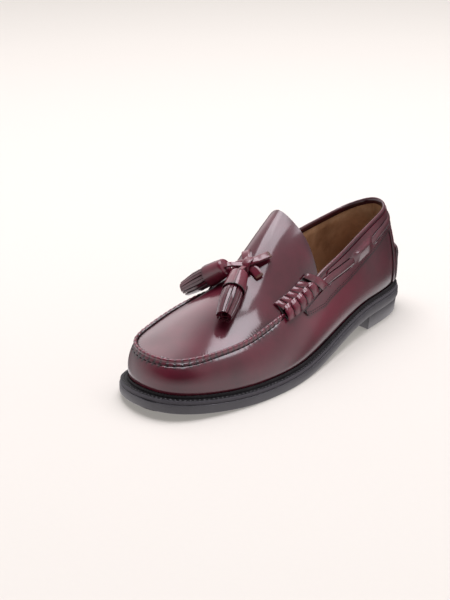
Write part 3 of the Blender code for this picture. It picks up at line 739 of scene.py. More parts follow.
def sew(line, normals, pitch, length, thick):
    """Stitches along a line in mm: one small bead each, lying along it and half sunk into the surface."""
    run = run_lengths(line)
    count = int(run[-1] // pitch)
    reach = 0.4
    shape = bmesh.new()
    for middle in (np.arange(count) + 0.5) * run[-1] / count:
        forward = unit(point_along(run, line, middle + reach) - point_along(run, line, middle - reach))
        side = unit(np.cross(point_along(run, normals, middle), forward))
        up = np.cross(forward, side)
        axes = np.stack([side * thick / 2, up * thick / 2, forward * length / 2], axis=1)
        place = Matrix.Translation(Vector(point_along(run, line, middle) * MM))
        matrix = place @ Matrix(axes * MM).to_4x4()
        bmesh.ops.create_uvsphere(shape, u_segments=6, v_segments=5, radius=1.0, matrix=matrix)
    return shape


welt_seam = welt_line(flat_middle, WELT_THICK - 0.1)
straight_up = np.tile((0.0, 0.0, 1.0), (len(welt_seam), 1))
welt_beads = sew(welt_seam, straight_up, pitch=3.4, length=2.5, thick=0.8)
make("welt_stitches", welt_beads, welt_thread)

# %% [markdown]
# ## Insole and lining
# Inside, a red-brown insole lies a little dished under the foot, and a tan lining covers the wall up to the
# collar. The lining is closed at the back by one upright seam. A copy of the wall, shrunk, would not keep an
# even distance, so the lining is a single sheet set in from the wall's outer face by its own depth.


# %% Inside of the shoe
INSOLE_RISE = 2.4
INSOLE_DISH = 1.2
insole_angles = np.linspace(0, math.pi, 81)
insole_columns = np.linspace(1, -1, 25)
insole_inset = RING["margin"](insole_angles) + WALL_THICK + 2 * GAP
insole_under = across_sole(insole_angles, insole_inset, insole_columns, lambda y: seat_height(y) + GAP)
insole_over = across_sole(insole_angles, insole_inset, insole_columns, lambda y: foot_height(y) + INSOLE_RISE)
insole_over[..., 2] -= INSOLE_DISH * (1 - insole_columns**2)
make("insole_sock", slab(insole_under, insole_over), sock_leather, ["insole"], sharp=40)

LINING_DEPTH = {"top": 1.5, "below": 2.6}
LINING_SAG = 0.18
HEEL_RADIUS = 40.0


def bell(distance, width):
    """1 at distance 0, falling off smoothly on both sides."""
    return np.exp(-((distance / width) ** 2))


lining_angles = np.linspace(0, TURN, 361)
lining_shares = np.linspace(0.02, 0.99, 40)
around, shares = np.meshgrid(lining_angles, lining_shares, indexing="ij")
from_back = np.minimum(lining_angles, TURN - lining_angles)[:, None] * HEEL_RADIUS
seam_ridge = 0.5 * bell(from_back, 1.6) - 0.7 * bell(from_back, 0.7)
sag = LINING_SAG * np.sin(9 * around + 4 * shares) * np.sin(math.pi * shares)
to_top = smooth_step(0.75, 0.95, shares)
depth_gain = LINING_DEPTH["top"] - LINING_DEPTH["below"]
lining_depth = LINING_DEPTH["below"] + depth_gain * to_top + seam_ridge + sag
inside = wall_curve(around, shares) + wall_inward(around, shares) * np.expand_dims(lining_depth, -1)
# Painted shade: the lining darkens down towards the insole, deep inside the shoe
lining_shape = lay(in_space(around, inside), 0.9 * (1 - smooth_step(0.1, 0.75, shares)), closed=True)
make("lining", lining_shape, lining_calf, thick=0.4)

# %% [markdown]
# ## The wall of the upper
# Vamp and quarters are one sheet of leather lasted round the foot, the part that shows the long reflections.
# It is laid over the last from the top edge down to the welt. Below the apron seam the thread pulls a groove
# with soft puckers, and the sheet sways by a tenth of a millimetre so that reflections aren't ruler-straight.
# A bump in the material could fake the groove, but not its outline, so it is in the mesh.


# %% Last the upper
STITCH_PITCH = 5.0
GROOVE = {"deep": 0.32, "above": 0.7, "below": 0.35}
PUCKER = {"deep": 0.06, "reach": 1.8}
WALL_SWAY = 0.1
# Middle and reach along the shoe, in mm, of the painted light on each side
PAINTED_LIGHT_MIDDLE = 15.0
PAINTED_LIGHT_REACH = 48.0
STATION_FINE = 0.6


def groove_depth(angle):
    """Depth of the sewn groove below the wall's top edge, greater round the toe."""
    return 1.1 + 1.7 * smooth_step(0.84, 0.97, station_of(angle))


front_start = angle_of(STATION_FINE)
wall_angles = np.concatenate(
    [
        np.linspace(0, front_start, 121)[:-1],
        np.linspace(front_start, TURN - front_start, 421)[:-1],
        np.linspace(TURN - front_start, TURN, 121),
    ]
)
seam_line = in_space(wall_angles, wall_curve(wall_angles, np.ones_like(wall_angles)))
seam_run = run_lengths(seam_line)


def pulls(run, sharpness):
    """1 at each stitch of the apron seam, 0 between two stitches."""
    return (0.5 + 0.5 * np.cos(TURN * run / STITCH_PITCH)) ** sharpness


wall_shares = 1 - np.linspace(0, 1, 61) ** 1.25
around, shares = np.meshgrid(wall_angles, wall_shares, indexing="ij")
wall_points = in_space(around, wall_curve(around, shares))
depth = np.cumsum(np.linalg.norm(np.diff(wall_points, axis=1, prepend=wall_points[:, :1]), axis=2), axis=1)
ridge = ridge_share(wall_angles)[:, None]
below_groove = depth - groove_depth(wall_angles)[:, None]
pulled = pulls(seam_run, 3)[:, None]
groove_width = np.where(below_groove < 0, GROOVE["above"], GROOVE["below"])
groove = -GROOVE["deep"] * ridge * bell(below_groove, groove_width)
pucker = -PUCKER["deep"] * ridge * pulled * np.exp(-np.clip(below_groove, 0, None) / PUCKER["reach"])
sway = WALL_SWAY * np.sin(around * 11 + depth / 9) * np.sin(math.pi * shares)
wall_face = raised(wall_points, groove + pucker + sway, closed=True)
# Painted shade: the wall darkens at its foot above the welt and in the pucker at each stitch below the seam.
# It is also darker in the top few millimetres under the apron seam.
pinched = ridge * pulled * bell(below_groove - 0.8, 1.3)
wall_tone = 0.75 * (1 - smooth_step(0.0, 0.12, shares)) + 0.3 * ridge * (1 - smooth_step(1.0, 9.0, depth))
# Painted light: the middle of each side is made redder, where a lamp from the side would light it
painted_side_light = bell(wall_points[..., 1] - PAINTED_LIGHT_MIDDLE, PAINTED_LIGHT_REACH)
painted_side_light = painted_side_light * smooth_step(0.08, 0.3, shares) * (1 - smooth_step(0.5, 0.85, shares))
wall_tone = wall_tone + pinched - 1.1 * painted_side_light
make(
    "vamp_and_quarters",
    lay(wall_face, wall_tone, closed=True),
    calf,
    ["upper"],
    thick=1.2,
    edge=0.4,
)

# %% [markdown]
# ## The raised seam round the apron
# A moccasin's apron is sewn edge to edge with the wall, and the wall's fold stands up round it as a ridge.
# The thread draws the ridge in at each stitch. A tube along the seam would be too even, so the ridge is its
# own strip with a height that dips at each stitch, and dark stitches lie in the groove at its foot.


# %% Raise the seam and sew it
RIDGE_RISES = (0.598, 0.626)
RIDGE_LOW = {"width": 1.8, "height": 0.6}
RIDGE_GAIN = {"width": 1.0, "height": 1.6}
RIDGE_BULGE = 0.4
RIDGE_DIP = 0.17

ridge_start = angle_of(RIDGE_RISES[0])
ridge_angles = np.linspace(ridge_start, TURN - ridge_start, 561)
ridge_line = in_space(ridge_angles, wall_curve(ridge_angles, np.ones_like(ridge_angles)))
ridge_run = run_lengths(ridge_line) + np.interp(ridge_start, wall_angles, seam_run)
drawn = pulls(ridge_run, 2.5)
stands = smooth_step(*RIDGE_RISES, station_of(ridge_angles))

# Painted shade: the ridge darkens down into the groove at its foot, into the crease by the apron, and at each
# stitch where the thread draws it in
ridge_sections = []
ridge_tones = []
start, run, stand, _, _ = lip_frame(ridge_angles)
width = np.expand_dims(RIDGE_LOW["width"] + RIDGE_GAIN["width"] * stands, -1)
height = np.expand_dims(RIDGE_LOW["height"] + RIDGE_GAIN["height"] * stands, -1)
foot_depth = groove_depth(ridge_angles) - 0.15
for down in np.linspace(1, 0, 7)[:-1]:
    share = share_below(ridge_angles, foot_depth * down)
    bulge = RIDGE_BULGE * math.sin(math.pi * (1 - down) / 2) * (1 - 0.4 * drawn) * stands
    inward = wall_inward(ridge_angles, share)
    ridge_sections.append(wall_curve(ridge_angles, share) - inward * np.expand_dims(bulge + 0.05, -1))
    ridge_tones.append(1.0 * down - 0.4 + 1.2 * drawn)
for share in np.linspace(0, 1, 15):
    bend = math.pi * share
    swell = np.expand_dims(1 - RIDGE_DIP * drawn * (0.4 + share), -1)
    outward = RIDGE_BULGE * (1 - share) * (1 - 0.4 * drawn) * stands
    section = start + run * width * (1 - math.cos(bend)) / 2 + stand * height * math.sin(bend) ** 0.9 * swell
    section = section - run * np.expand_dims(outward, -1) + stand * 0.1
    ridge_sections.append(section)
    ridge_tones.append(1.2 * drawn - 0.7 + 1.6 * smooth_step(0.6, 1.0, share))
ridge_points = np.stack([in_space(ridge_angles, section) for section in reversed(ridge_sections)], axis=1)
ridge_tone = np.stack(ridge_tones[::-1], axis=1)
make("apron_seam_ridge", lay(ridge_points, ridge_tone), calf, thick=0.8)

groove_points = wall_at_depth(ridge_angles, groove_depth(ridge_angles)[:, None] + np.array((0.0, 0.5)))
groove_out = normals_of(groove_points)[:, 0]
groove_line = groove_points[:, 0] - 0.1 * groove_out
seam_stitches = sew(groove_line, groove_out, pitch=STITCH_PITCH, length=2.7, thick=1.0)
make("apron_seam_stitches", seam_stitches, waxed_thread)
print("stitches round the apron:", int((ridge_run[-1] - ridge_run[0]) // STITCH_PITCH))

# %% [markdown]
# ## Apron and tongue
# The apron is the crowned plug on top of the foot, and the tongue is the same sheet carried up to the throat.
# It gets fine puckers round the seam, deepest at the edge and nearly gone 4 mm in. A thin tan lining backs
# it, which shows at the free edge over the throat. Two patches joined at the throat would leave a crease in
# the reflections, so one grid runs from the toe to the tongue's edge.


# %% Crown the apron
APRON_CLEARANCE = 0.2
APRON_TIP = 0.075
APRON_SWAY = 0.12
FAN_DEEP = 0.16
FAN_REACH = 1.8
APRON_LEATHER = 1.5

apron_away = np.linspace(APRON_TIP, math.pi - angle_of(STATION_THROAT), 211)
apron_stations = (1 + np.cos(apron_away)) / 2
apron_columns = np.sin(np.linspace(math.pi / 2, -math.pi / 2, 97))
half_width = np.linalg.norm(apron(apron_stations, 1.0) - apron(apron_stations, -1.0), axis=1) / 2
kept = 1 - APRON_CLEARANCE / half_width
apron_points = np.stack([apron(apron_stations, column * kept) for column in apron_columns], axis=1)
apron_points[0, :, 1] += GAP
lateral_run = run_lengths(apron_points[:, 0])
to_side = half_width[:, None] * (1 - np.abs(apron_columns))
to_toe = lateral_run[:, None] * np.sqrt(np.clip(1 - apron_columns**2, 0.02, 1))
to_seam = np.minimum(to_side, to_toe)
sewn = smooth_step(*STATION_RIDGE, apron_stations)[:, None]
around_toe = np.arctan2(apron_points[..., 0], apron_points[0, 0, 1] + 45 - apron_points[..., 1]) * 40
seam_way = np.where(apron_stations[:, None] < 0.86, lateral_run[:, None], around_toe)
fan = sewn * np.exp(-to_seam / FAN_REACH) * (0.5 + 0.5 * np.cos(TURN * seam_way / (STITCH_PITCH / 2)))
sway = APRON_SWAY * np.sin(apron_points[..., 1] / 11) * np.sin(apron_points[..., 0] / 9)
sway = sway * smooth_step(2, 12, to_seam)
apron_face = raised(apron_points, sway - FAN_DEEP * fan)
# Painted shade: the apron darkens in the crease along its seam and in its fine puckers. It is also darker
# over the last 6 mm of the tongue's free edge.
free_edge = smooth_step(6.0, 0.0, lateral_run[-1] - lateral_run)[:, None]
apron_tone = 0.5 * sewn * np.exp(-to_seam / 1.6) + 0.2 * fan + 0.3 * free_edge
make(
    "apron_and_tongue",
    lay(apron_face, apron_tone),
    calf,
    ["apron_tongue"],
    thick=APRON_LEATHER,
    edge=0.45,
)
back_points = (apron_points - normals_of(apron_points) * (APRON_LEATHER + 0.05))[20:-1, 6:-6]
make("tongue_lining", lay(back_points), lining_calf, thick=0.45)

# %% [markdown]
# ## Topline binding
# A narrow strip of leather is folded over the collar's edge: its roll makes the thin bright line along the
# collar, and its inner half covers the top of the lining. A bevelled curve would give the roll alone, so it
# is one sheet from the inside, over the edge, to the outside.


# %% Bind the topline
BINDING_IN = 3.0
BINDING_OUT = 1.3
BINDING_HALF = 1.15
BINDING_PROUD = 0.35
# line of the strip, counted from its inner edge, and burnish there
BINDING_TONES = ((0, 0.6), (5, 0.5), (8, 0.1), (12, 0.05), (17, 0.5))
STATION_BRAID_REAR = {"outer": 0.448, "inner": 0.497}

binding_end = angle_of(STATION_BRAID_REAR["inner"] + 0.01)
binding_angles = np.linspace(-binding_end, binding_end, 261)
binding_sections = []
for below in np.linspace(BINDING_IN, 0.6, 6):
    share = share_below(binding_angles, below)
    inward = wall_inward(binding_angles, share)
    binding_sections.append(wall_curve(binding_angles, share) + inward * (2 * BINDING_HALF - 0.3))
start, run, stand, _, _ = lip_frame(binding_angles)
centre = start + run * (BINDING_HALF - BINDING_PROUD)
for bend in np.linspace(math.pi, 0, 10):
    rolled = centre - run * BINDING_HALF * math.cos(bend)
    binding_sections.append(rolled + stand * (0.1 + math.sin(bend)))
for below in (0.7, BINDING_OUT):
    share = share_below(binding_angles, below)
    inward = wall_inward(binding_angles, share)
    binding_sections.append(wall_curve(binding_angles, share) - inward * BINDING_PROUD)
binding_points = np.stack([in_space(binding_angles, section) for section in binding_sections], axis=1)
binding_tone = np.interp(np.arange(len(binding_sections)), *zip(*BINDING_TONES))
make("topline_binding", lay(binding_points, binding_tone), calf, thick=0.4)

# %% [markdown]
# ## Collar band and lace
# A band runs round the collar with long windows cut in it. A flat lace lies in the windows and runs on
# through two tunnels at the sides, where the band swells over it. Cutting the windows with a Boolean would
# tear the even grid, so the band is a sheet raised off the wall with the windows pressed down into it as long
# round-ended hollows. Its lower edge has two rows of stitches.


# %% Depths of band and lace
BAND_THICK = 0.9
BAND_TOP_DEPTH = 1.6
TUNNEL_SWELL = 2.5
LACE_WIDTH = 6.5
STATION_BAND_FRONT = 0.55
STATION_BRAID_FRONT = 0.615
TUNNEL_STATIONS = (0.205, 0.300)
BRAID_REACH = {"wall": (4.0, 7.0), "apron": (10.5, 8.5)}
BRAID_CLEARANCE = 1.2
WINDOW_DEEP = 0.95
# station, depth of the band's lower edge below the collar, depth of the lace's middle
BAND_ROWS = (
    (0.00, 16.0, 8.5),
    (0.10, 16.0, 9.5),
    (0.20, 19.5, 11.5),
    (0.30, 20.5, 10.5),
    (0.40, 20.5, 7.5),
    (0.47, 20.5, 6.0),
    (0.53, 14.5, 6.0),
    (0.544, 12.2, 6.0),
    (0.55, 8.5, 6.0),
)


def band_depths(angles):
    """Depth of the band's lower edge and of the lace's middle, read from the table."""
    stations, lower, middle = zip(*BAND_ROWS)
    return [np.interp(station_of(angles), stations, column) for column in (lower, middle)]


def braid_reach(station):
    """How far a braid reaches down the wall and on to the apron."""
    length = STATION_BRAID_FRONT - STATION_BRAID_REAR["outer"]
    run = np.clip((STATION_BRAID_FRONT - station) / length, 0, 1)
    return [front + (rear - front) * run for front, rear in BRAID_REACH.values()]


tunnel_back, tunnel_far = (angle_of(station) for station in TUNNEL_STATIONS)
lace_front = angle_of(STATION_BRAID_REAR["outer"] - 0.01)
lace_windows = {
    "lateral": (tunnel_far + 0.02, lace_front),
    "back": (-tunnel_back + 0.02, tunnel_back - 0.02),
    "medial": (-lace_front, -tunnel_far - 0.02),
}
print("lace windows:", len(lace_windows))

# %% Cut and sew the band
band_end = angle_of(STATION_BAND_FRONT)
band_angles = np.linspace(-band_end, band_end, 421)
band_station = station_of(band_angles)
band_lower, lace_depth = band_depths(band_angles)
tuck = braid_reach(band_station)[0] + BRAID_CLEARANCE
braid_rear = STATION_BRAID_REAR["outer"]
band_upper = BAND_TOP_DEPTH + tuck * smooth_step(braid_rear - 0.032, braid_rear - 0.011, band_station)
band_shares = np.linspace(0, 1, 45)
band_depth = band_upper[:, None] + (band_lower - band_upper)[:, None] * band_shares
band_bed = wall_at_depth(band_angles, band_depth)
lace_line = wall_at_depth(band_angles, lace_depth[:, None])[:, 0]
lace_run = run_lengths(lace_line)
off_lace = band_depth - lace_depth[:, None]
window = np.zeros_like(band_depth)
half = LACE_WIDTH / 2
for first, last in lace_windows.values():
    low, high = np.interp((first, last), band_angles, lace_run)
    beyond = np.maximum(np.maximum(low + half - lace_run, lace_run - (high - half)), 0)[:, None]
    off_window = np.hypot(beyond, off_lace)
    window = np.maximum(window, 1 - smooth_step(half - 0.1, half + 0.5, off_window))
around_half = np.abs(band_angles)
hidden = smooth_step(tunnel_back - 0.02, tunnel_back + 0.06, around_half)
hidden = hidden - smooth_step(tunnel_far - 0.06, tunnel_far + 0.02, around_half)
# The lace fills its tunnel high up, and the leather falls from there in a flat slope to the lower stitches
over_lace = smooth_step(-0.85, -0.35, off_lace / LACE_WIDTH) * np.clip(0.75 - off_lace / LACE_WIDTH, 0, 1)
band_height = BAND_THICK + TUNNEL_SWELL * hidden[:, None] * over_lace - WINDOW_DEEP * window
band_out = normals_of(band_bed)
band_face = band_bed + band_out * np.expand_dims(GAP + band_height, -1)
# Painted shade: the band darkens in the lace windows, which are hollows, and along its lower edge, where it
# stands off the wall. Its front end is darker too.
to_front = smooth_step(band_end - 0.02, band_end, np.abs(band_angles))[:, None]
lower_edge = smooth_step(0.93, 1.0, band_shares)
band_tone = 0.9 * np.maximum(window, np.maximum(lower_edge, to_front))
make(
    "collar_band_leather",
    lay(band_face, band_tone),
    calf,
    ["collar_band"],
    thick=1.1,
    edge=0.3,
)

for row, up_from_edge in (("lower", 1.2), ("upper", 2.7)):
    sewn_depth = np.maximum(band_lower - up_from_edge, band_upper + 0.3)
    stitch_line = wall_at_depth(band_angles, sewn_depth[:, None])[:, 0]
    stitch_out = band_out[:, -4]
    stitch_line = stitch_line + stitch_out * (GAP + BAND_THICK)
    stitches = sew(stitch_line, stitch_out, pitch=2.6, length=1.9, thick=0.6)
    make(f"band_stitches_{row}", stitches, waxed_thread)

# %% Thread the lace
LACE_EDGE = 0.75
LACE_CROWN = 1.25

for side, (first, last) in lace_windows.items():
    count = 121 if side == "back" else 61
    spread = np.linspace(first - 0.03, last + 0.03, count)
    across = np.sin(np.linspace(-math.pi / 2, math.pi / 2, 13))
    _, middle = band_depths(spread)
    bed = wall_at_depth(spread, middle[:, None] + 0.46 * LACE_WIDTH * across)
    crown = LACE_EDGE + LACE_CROWN * (1 - across**2) ** 0.5
    dive = 1 - 0.6 * np.abs(np.linspace(-1, 1, count)) ** 14
    lace_shape = lay(raised(bed, dive[:, None] * crown), 0.5 * np.abs(across) ** 4)
    make(f"leather_lace_{side}", lace_shape, calf, [f"lace_{side}"], thick=0.7)

# %% [markdown]
# ## Back strip and heel patch
# The seam up the back of the heel is covered by a strip with piped edges, and a patch with a rolled top edge
# sits over its foot. Separate cords for the piping would need fitting, so both panels are sheets raised off
# the wall, thicker where the leather is doubled.


# %% Cover the back seam
STRIP_THICK = 0.8
STATION_STRIP = 0.085
STATION_PATCH = 0.066
PATCH_THICK = 1.3
PATCH_ROLL = 0.8
PATCH_TOP_DEPTH = 36.0
# share of the patch from its top edge, and how much of the roll stands there
ROLL_ROWS = ((0, 0.2), (0.03, 0.8), (0.1, 1.0), (0.2, 0.85), (0.3, 0.4), (0.45, 0), (1, 0))
CORD = {"across": 0.93, "width": 0.035, "height": 0.55}
FURROW = {"across": 0.85, "width": 0.025, "height": 0.35}


def heel_panel(half_station, low_share, high_depth, rows, columns):
    """Points on the back of the wall, from a depth below the collar down to a share of the wall's height."""
    reach = angle_of(half_station)
    angles = np.linspace(-reach, reach, columns)
    top = share_below(angles, high_depth)[:, None]
    panel_shares = top + (low_share - top) * np.linspace(0, 1, rows)
    panel_angles = angles[:, None] + 0 * panel_shares
    return in_space(panel_angles, wall_curve(panel_angles, panel_shares))


strip_points = heel_panel(STATION_STRIP, 0.03, BAND_ROWS[0][1] - 0.6, 61, 81)
strip_across = np.abs(np.linspace(-1, 1, 81))[:, None]
cord = bell(strip_across - CORD["across"], CORD["width"])
furrow = bell(strip_across - FURROW["across"], FURROW["width"])
strip_height = GAP + STRIP_THICK + CORD["height"] * cord - FURROW["height"] * furrow
# Painted shade in the furrow inside each piped edge; the strip is also darker at its outer edges
strip_tone = 0.8 * furrow + 0.5 * smooth_step(0.96, 1.0, strip_across)
make(
    "back_strip_leather",
    lay(raised(strip_points, strip_height), strip_tone),
    calf,
    ["back_strip"],
    thick=1.0,
    edge=0.3,
)

patch_points = heel_panel(STATION_PATCH, 0.04, PATCH_TOP_DEPTH, 61, 61)
patch_down = np.linspace(0, 1, 61)
roll = np.interp(patch_down, *zip(*ROLL_ROWS))
patch_side = np.abs(np.linspace(-1, 1, 61))[:, None]
patch_height = STRIP_THICK * 1.3 + 2 * GAP + PATCH_THICK + PATCH_ROLL * roll
patch_height = patch_height - 0.8 * smooth_step(0.85, 1.0, patch_side)
patch_tone = 0.55 * smooth_step(0.8, 1.0, patch_side) + 0.6 * (patch_down < 0.03)
make(
    "heel_patch_leather",
    lay(raised(patch_points, patch_height), patch_tone),
    calf,
    ["heel_patch"],
    thick=1.6,
    edge=0.5,
)

# %% [markdown]
# ## Braids at the throat
# On each side a strip of leather is wound over the end of the apron seam: an outer row of fat turns, an inner
# row of flatter ones set between them, and one wide turn at the rear that folds over the collar's edge. One
# long winding strip would cut through itself at the crossings. So each turn is a short bowed sheet on a
# smooth bed over the seam, and the turns lie side by side with dark gaps. The gaps are painted shade: the
# bed is coloured plum all over, and each turn darkens towards its sides and ends.


# %% The bed under a braid
def over_seam(side, station, distance):
    """A point at a distance from the apron seam, down the wall if negative and on the apron if positive."""
    if distance <= 0:
        angle = angle_of(station) if side > 0 else TURN - angle_of(station)
        return wall_at_depth(np.array([angle]), np.array([[-distance]]))[0, 0]
    flank = side * np.linspace(1, 0.2, 40)
    line = apron(np.full(flank.shape, station), flank)
    return point_along(run_lengths(line), line, distance)


def braid_bed(side, run, across):
    """Points under a braid: run from its front to its rear, across from the wall to the apron."""
    rear = STATION_BRAID_REAR["outer"] * (1 - across) + STATION_BRAID_REAR["inner"] * across
    station = STATION_BRAID_FRONT + (rear - STATION_BRAID_FRONT) * run
    on_wall, on_apron = braid_reach(station)
    distance = -on_wall + (on_wall + on_apron) * across
    points = [over_seam(side, *at) for at in zip(station.flat, distance.flat)]
    return np.array(points).reshape(station.shape + (3,))


BED_RUN = np.linspace(-0.06, 1.12, 60)
BED_ACROSS = np.linspace(-0.3, 1.1, 57)


def smooth_bed(side):
    """The bed of one braid as a table, with the step at the seam evened out."""
    bed = braid_bed(side, *np.meshgrid(BED_RUN, BED_ACROSS, indexing="ij"))
    for _ in range(6):
        bed[:, 1:-1] = 0.25 * bed[:, :-2] + 0.5 * bed[:, 1:-1] + 0.25 * bed[:, 2:]
    return bed


def on_bed(table, run, across):
    """Points read from a bed's table between its rows and columns."""
    i = np.clip((run - BED_RUN[0]) / (BED_RUN[1] - BED_RUN[0]), 0, len(BED_RUN) - 1.001)
    j = np.clip((across - BED_ACROSS[0]) / (BED_ACROSS[1] - BED_ACROSS[0]), 0, len(BED_ACROSS) - 1.001)
    i0, j0 = i.astype(int), j.astype(int)
    u, v = np.expand_dims(i - i0, -1), np.expand_dims(j - j0, -1)
    near = table[i0, j0] * (1 - v) + table[i0, j0 + 1] * v
    far = table[i0 + 1, j0] * (1 - v) + table[i0 + 1, j0 + 1] * v
    return near * (1 - u) + far * u


print("bed of a braid:", len(BED_RUN), "by", len(BED_ACROSS), "points")


# %% Wind the braids
def smooth_path(points, count):
    """A smooth line of count points through a few given ones."""
    points = np.asarray(points, dtype=float)
    ends = np.vstack([2 * points[0] - points[1], points, 2 * points[-1] - points[-2]])
    path = []
    for place in np.linspace(0, len(points) - 1, count):
        i = min(int(place), len(points) - 2)
        t = place - i
        p0, p1, p2, p3 = ends[i : i + 4]
        bend = (2 * p0 - 5 * p1 + 4 * p2 - p3) * t**2 + (3 * p1 - p0 - 3 * p2 + p3) * t**3
        path.append(0.5 * (2 * p1 + (p2 - p0) * t + bend))
    return np.array(path)


def braid_turn(table, side, run, across, height, tone):
    """One bowed sheet over a bed, facing outwards on either side of the shoe."""
    bed = on_bed(table, run, across)
    out = normals_of(bed[:, ::side])
    return lay(bed[:, ::side] + out * np.expand_dims(height[:, ::side], -1), tone[:, ::side])


# row: turns, place of the first in pitches, skew in pitches, first and last share across
BRAID_ROWS = {"outer": (5, 0.75, 0.6, -0.04, 0.62), "inner": (5, 0.55, -0.6, 0.46, 1.02)}
# height of a turn's middle along it, from the wall's side to the apron's
BRAID_ARCH = {"outer": (2.6, 3.9, 4.6, 4.5, 3.0), "inner": (2.6, 3.1, 2.9, 2.4, 1.6)}
BRAID_PITCH = 0.165
BRAID_FILL = 0.95
BRAID_ROUND = {"outer": 1.5, "inner": 0.9}
# the wide turn at the rear
REAR_PLACE = {"middle": 0.955, "half": 0.085, "skew": 0.03}
REAR_ARCH = {"ends": 1.9, "rise": 2.6, "round": 0.8}

for side_name, side in (("lateral", 1), ("medial", -1)):
    table = smooth_bed(side)
    run, across = np.meshgrid(np.linspace(0.03, 1.0, 41), np.linspace(0.02, 0.98, 25), indexing="ij")
    # The bed is coloured plum all over, as painted shade that shows in the gaps between the turns
    under_turns = braid_turn(table, side, run, across, np.full(run.shape, 1.0), np.full(run.shape, 1.0))
    make(f"braid_bed_{side_name}", under_turns, calf, [f"braid_{side_name}"], thick=1.0)
    bow, along = np.meshgrid(np.linspace(-1, 1, 13), np.linspace(0, 1, 25), indexing="ij")
    to_ends = smooth_step(0.72, 1.0, np.abs(2 * along - 1))
    rounded = (1 - np.sqrt(1 - 0.94 * bow**2)) * (1 - 0.55 * to_ends)
    for row, (turns, offset, skew, first, last) in BRAID_ROWS.items():
        arch = smooth_path(np.array(BRAID_ARCH[row])[:, None], 25)[:, 0]
        for turn in range(turns):
            run = BRAID_PITCH * (turn + offset + skew * (along - 0.5) + 0.5 * BRAID_FILL * bow)
            across = first + (last - first) * along
            # Painted shade: each turn darkens towards its sides, where it meets the next, and towards its
            # ends
            tone = 0.6 * np.abs(bow) ** 6 + 0.4 * smooth_step(0.8, 1.0, np.abs(2 * along - 1))
            turn_shape = braid_turn(table, side, run, across, arch - BRAID_ROUND[row] * rounded, tone)
            name = f"braid_{side_name}_{row}_{turn + 1}"
            make(name, turn_shape, thong_calf, thick=1.1, edge=0.3)
    run = REAR_PLACE["middle"] + REAR_PLACE["half"] * bow + REAR_PLACE["skew"] * (along - 0.5)
    across = -0.12 + 1.16 * along
    arch = REAR_ARCH["ends"] + REAR_ARCH["rise"] * np.sin(math.pi * np.clip(along, 0.03, 0.97)) ** 0.5
    # Painted shade: the rear turn darkens towards its sides and its ends
    tone = 0.6 * np.abs(bow) ** 6 + 0.5 * smooth_step(0.8, 1.0, np.abs(2 * along - 1))
    strap_shape = braid_turn(table, side, run, across, arch - REAR_ARCH["round"] * rounded, tone)
    make(f"braid_{side_name}_strap", strap_shape, thong_calf, thick=1.2, edge=0.35)

# %% [markdown]
# ## Tassels
# A tassel is a strip of leather cut into a fringe, rolled up and capped by a second rolled strip. The cap is
# turned from an outline, with the small step where the roll ends. A turned cone with grooves would look like
# one block from below, so the fringe is three rings of separate narrow straps, one inside the other, that
# swell below the cap and close in towards their cut ends.


# %% Where the tassels rest
# name, station and share across the apron at the tassel's top, the same at its foot
TASSEL_ROWS = (
    ("front", 0.634, -0.05, 0.745, 0.36),
    ("side", 0.628, -0.22, 0.628, -0.99),
)
# length from the top and radius of the plain tassel, which set how high it rests
CAP_ROWS = ((0.0, 3.6), (0.8, 4.9), (5.0, 6.3), (11.0, 7.5), (17.0, 8.2))
FRINGE_ROWS = ((17.3, 6.8), (20.0, 7.3), (28.0, 7.4), (36.0, 6.6), (43.0, 5.6))
TASSEL_CLEARANCE = 0.4


def apron_frame(station, across):
    """A point of the apron and its normal."""
    lateral = apron(station, across + 0.01) - apron(station, across - 0.01)
    throat = apron(station - 0.001, across) - apron(station + 0.001, across)
    return apron(station, across), unit(np.cross(lateral, throat))


def resting_axis(top, foot):
    """Start and direction of a tassel's axis, raised off the apron until the turned outline clears it."""
    stations, across = np.meshgrid(np.linspace(0.56, 0.84, 80), np.linspace(-1, 1, 80), indexing="ij")
    sides = np.concatenate([np.arccos(1 - 2 * stations[:, 0]), TURN - np.arccos(1 - 2 * stations[:, 0])])
    lip = [in_space(sides, lip_curve(sides, share)) for share in np.linspace(0, 1, 9)]
    leather = np.concatenate([apron(stations, across).reshape(-1, 3)] + lip)
    start = apron(*top)
    along = unit(apron(*foot) - start)
    _, out = apron_frame((top[0] + foot[0]) / 2, (top[1] + foot[1]) / 2)
    outline = np.array(CAP_ROWS + FRINGE_ROWS)
    for lift in np.arange(4.0, 16.0, 0.05):
        reach = leather - start - out * lift
        length = reach @ along
        inside = (length > 0) & (length < outline[-1, 0])
        away = np.linalg.norm(reach - length[:, None] * along, axis=1)
        clearance = away - np.interp(length, outline[:, 0], outline[:, 1])
        if clearance[inside].min() > TASSEL_CLEARANCE:
            break
    return start + out * lift, along, out


tassel_axes = {}
for name, top_station, top_across, foot_station, foot_across in TASSEL_ROWS:
    tassel_axes[name] = resting_axis((top_station, top_across), (foot_station, foot_across))
print("tassels:", ", ".join(tassel_axes))


# %% Flat straps
# half of a strap's section, as shares of its width and thickness
STRAP_HALF = ((-0.5, -0.25), (-0.42, -0.5), (-0.2, -0.52), (0.2, -0.52), (0.42, -0.5), (0.5, -0.25))
STRAP_EDGE_TONE = 0.5


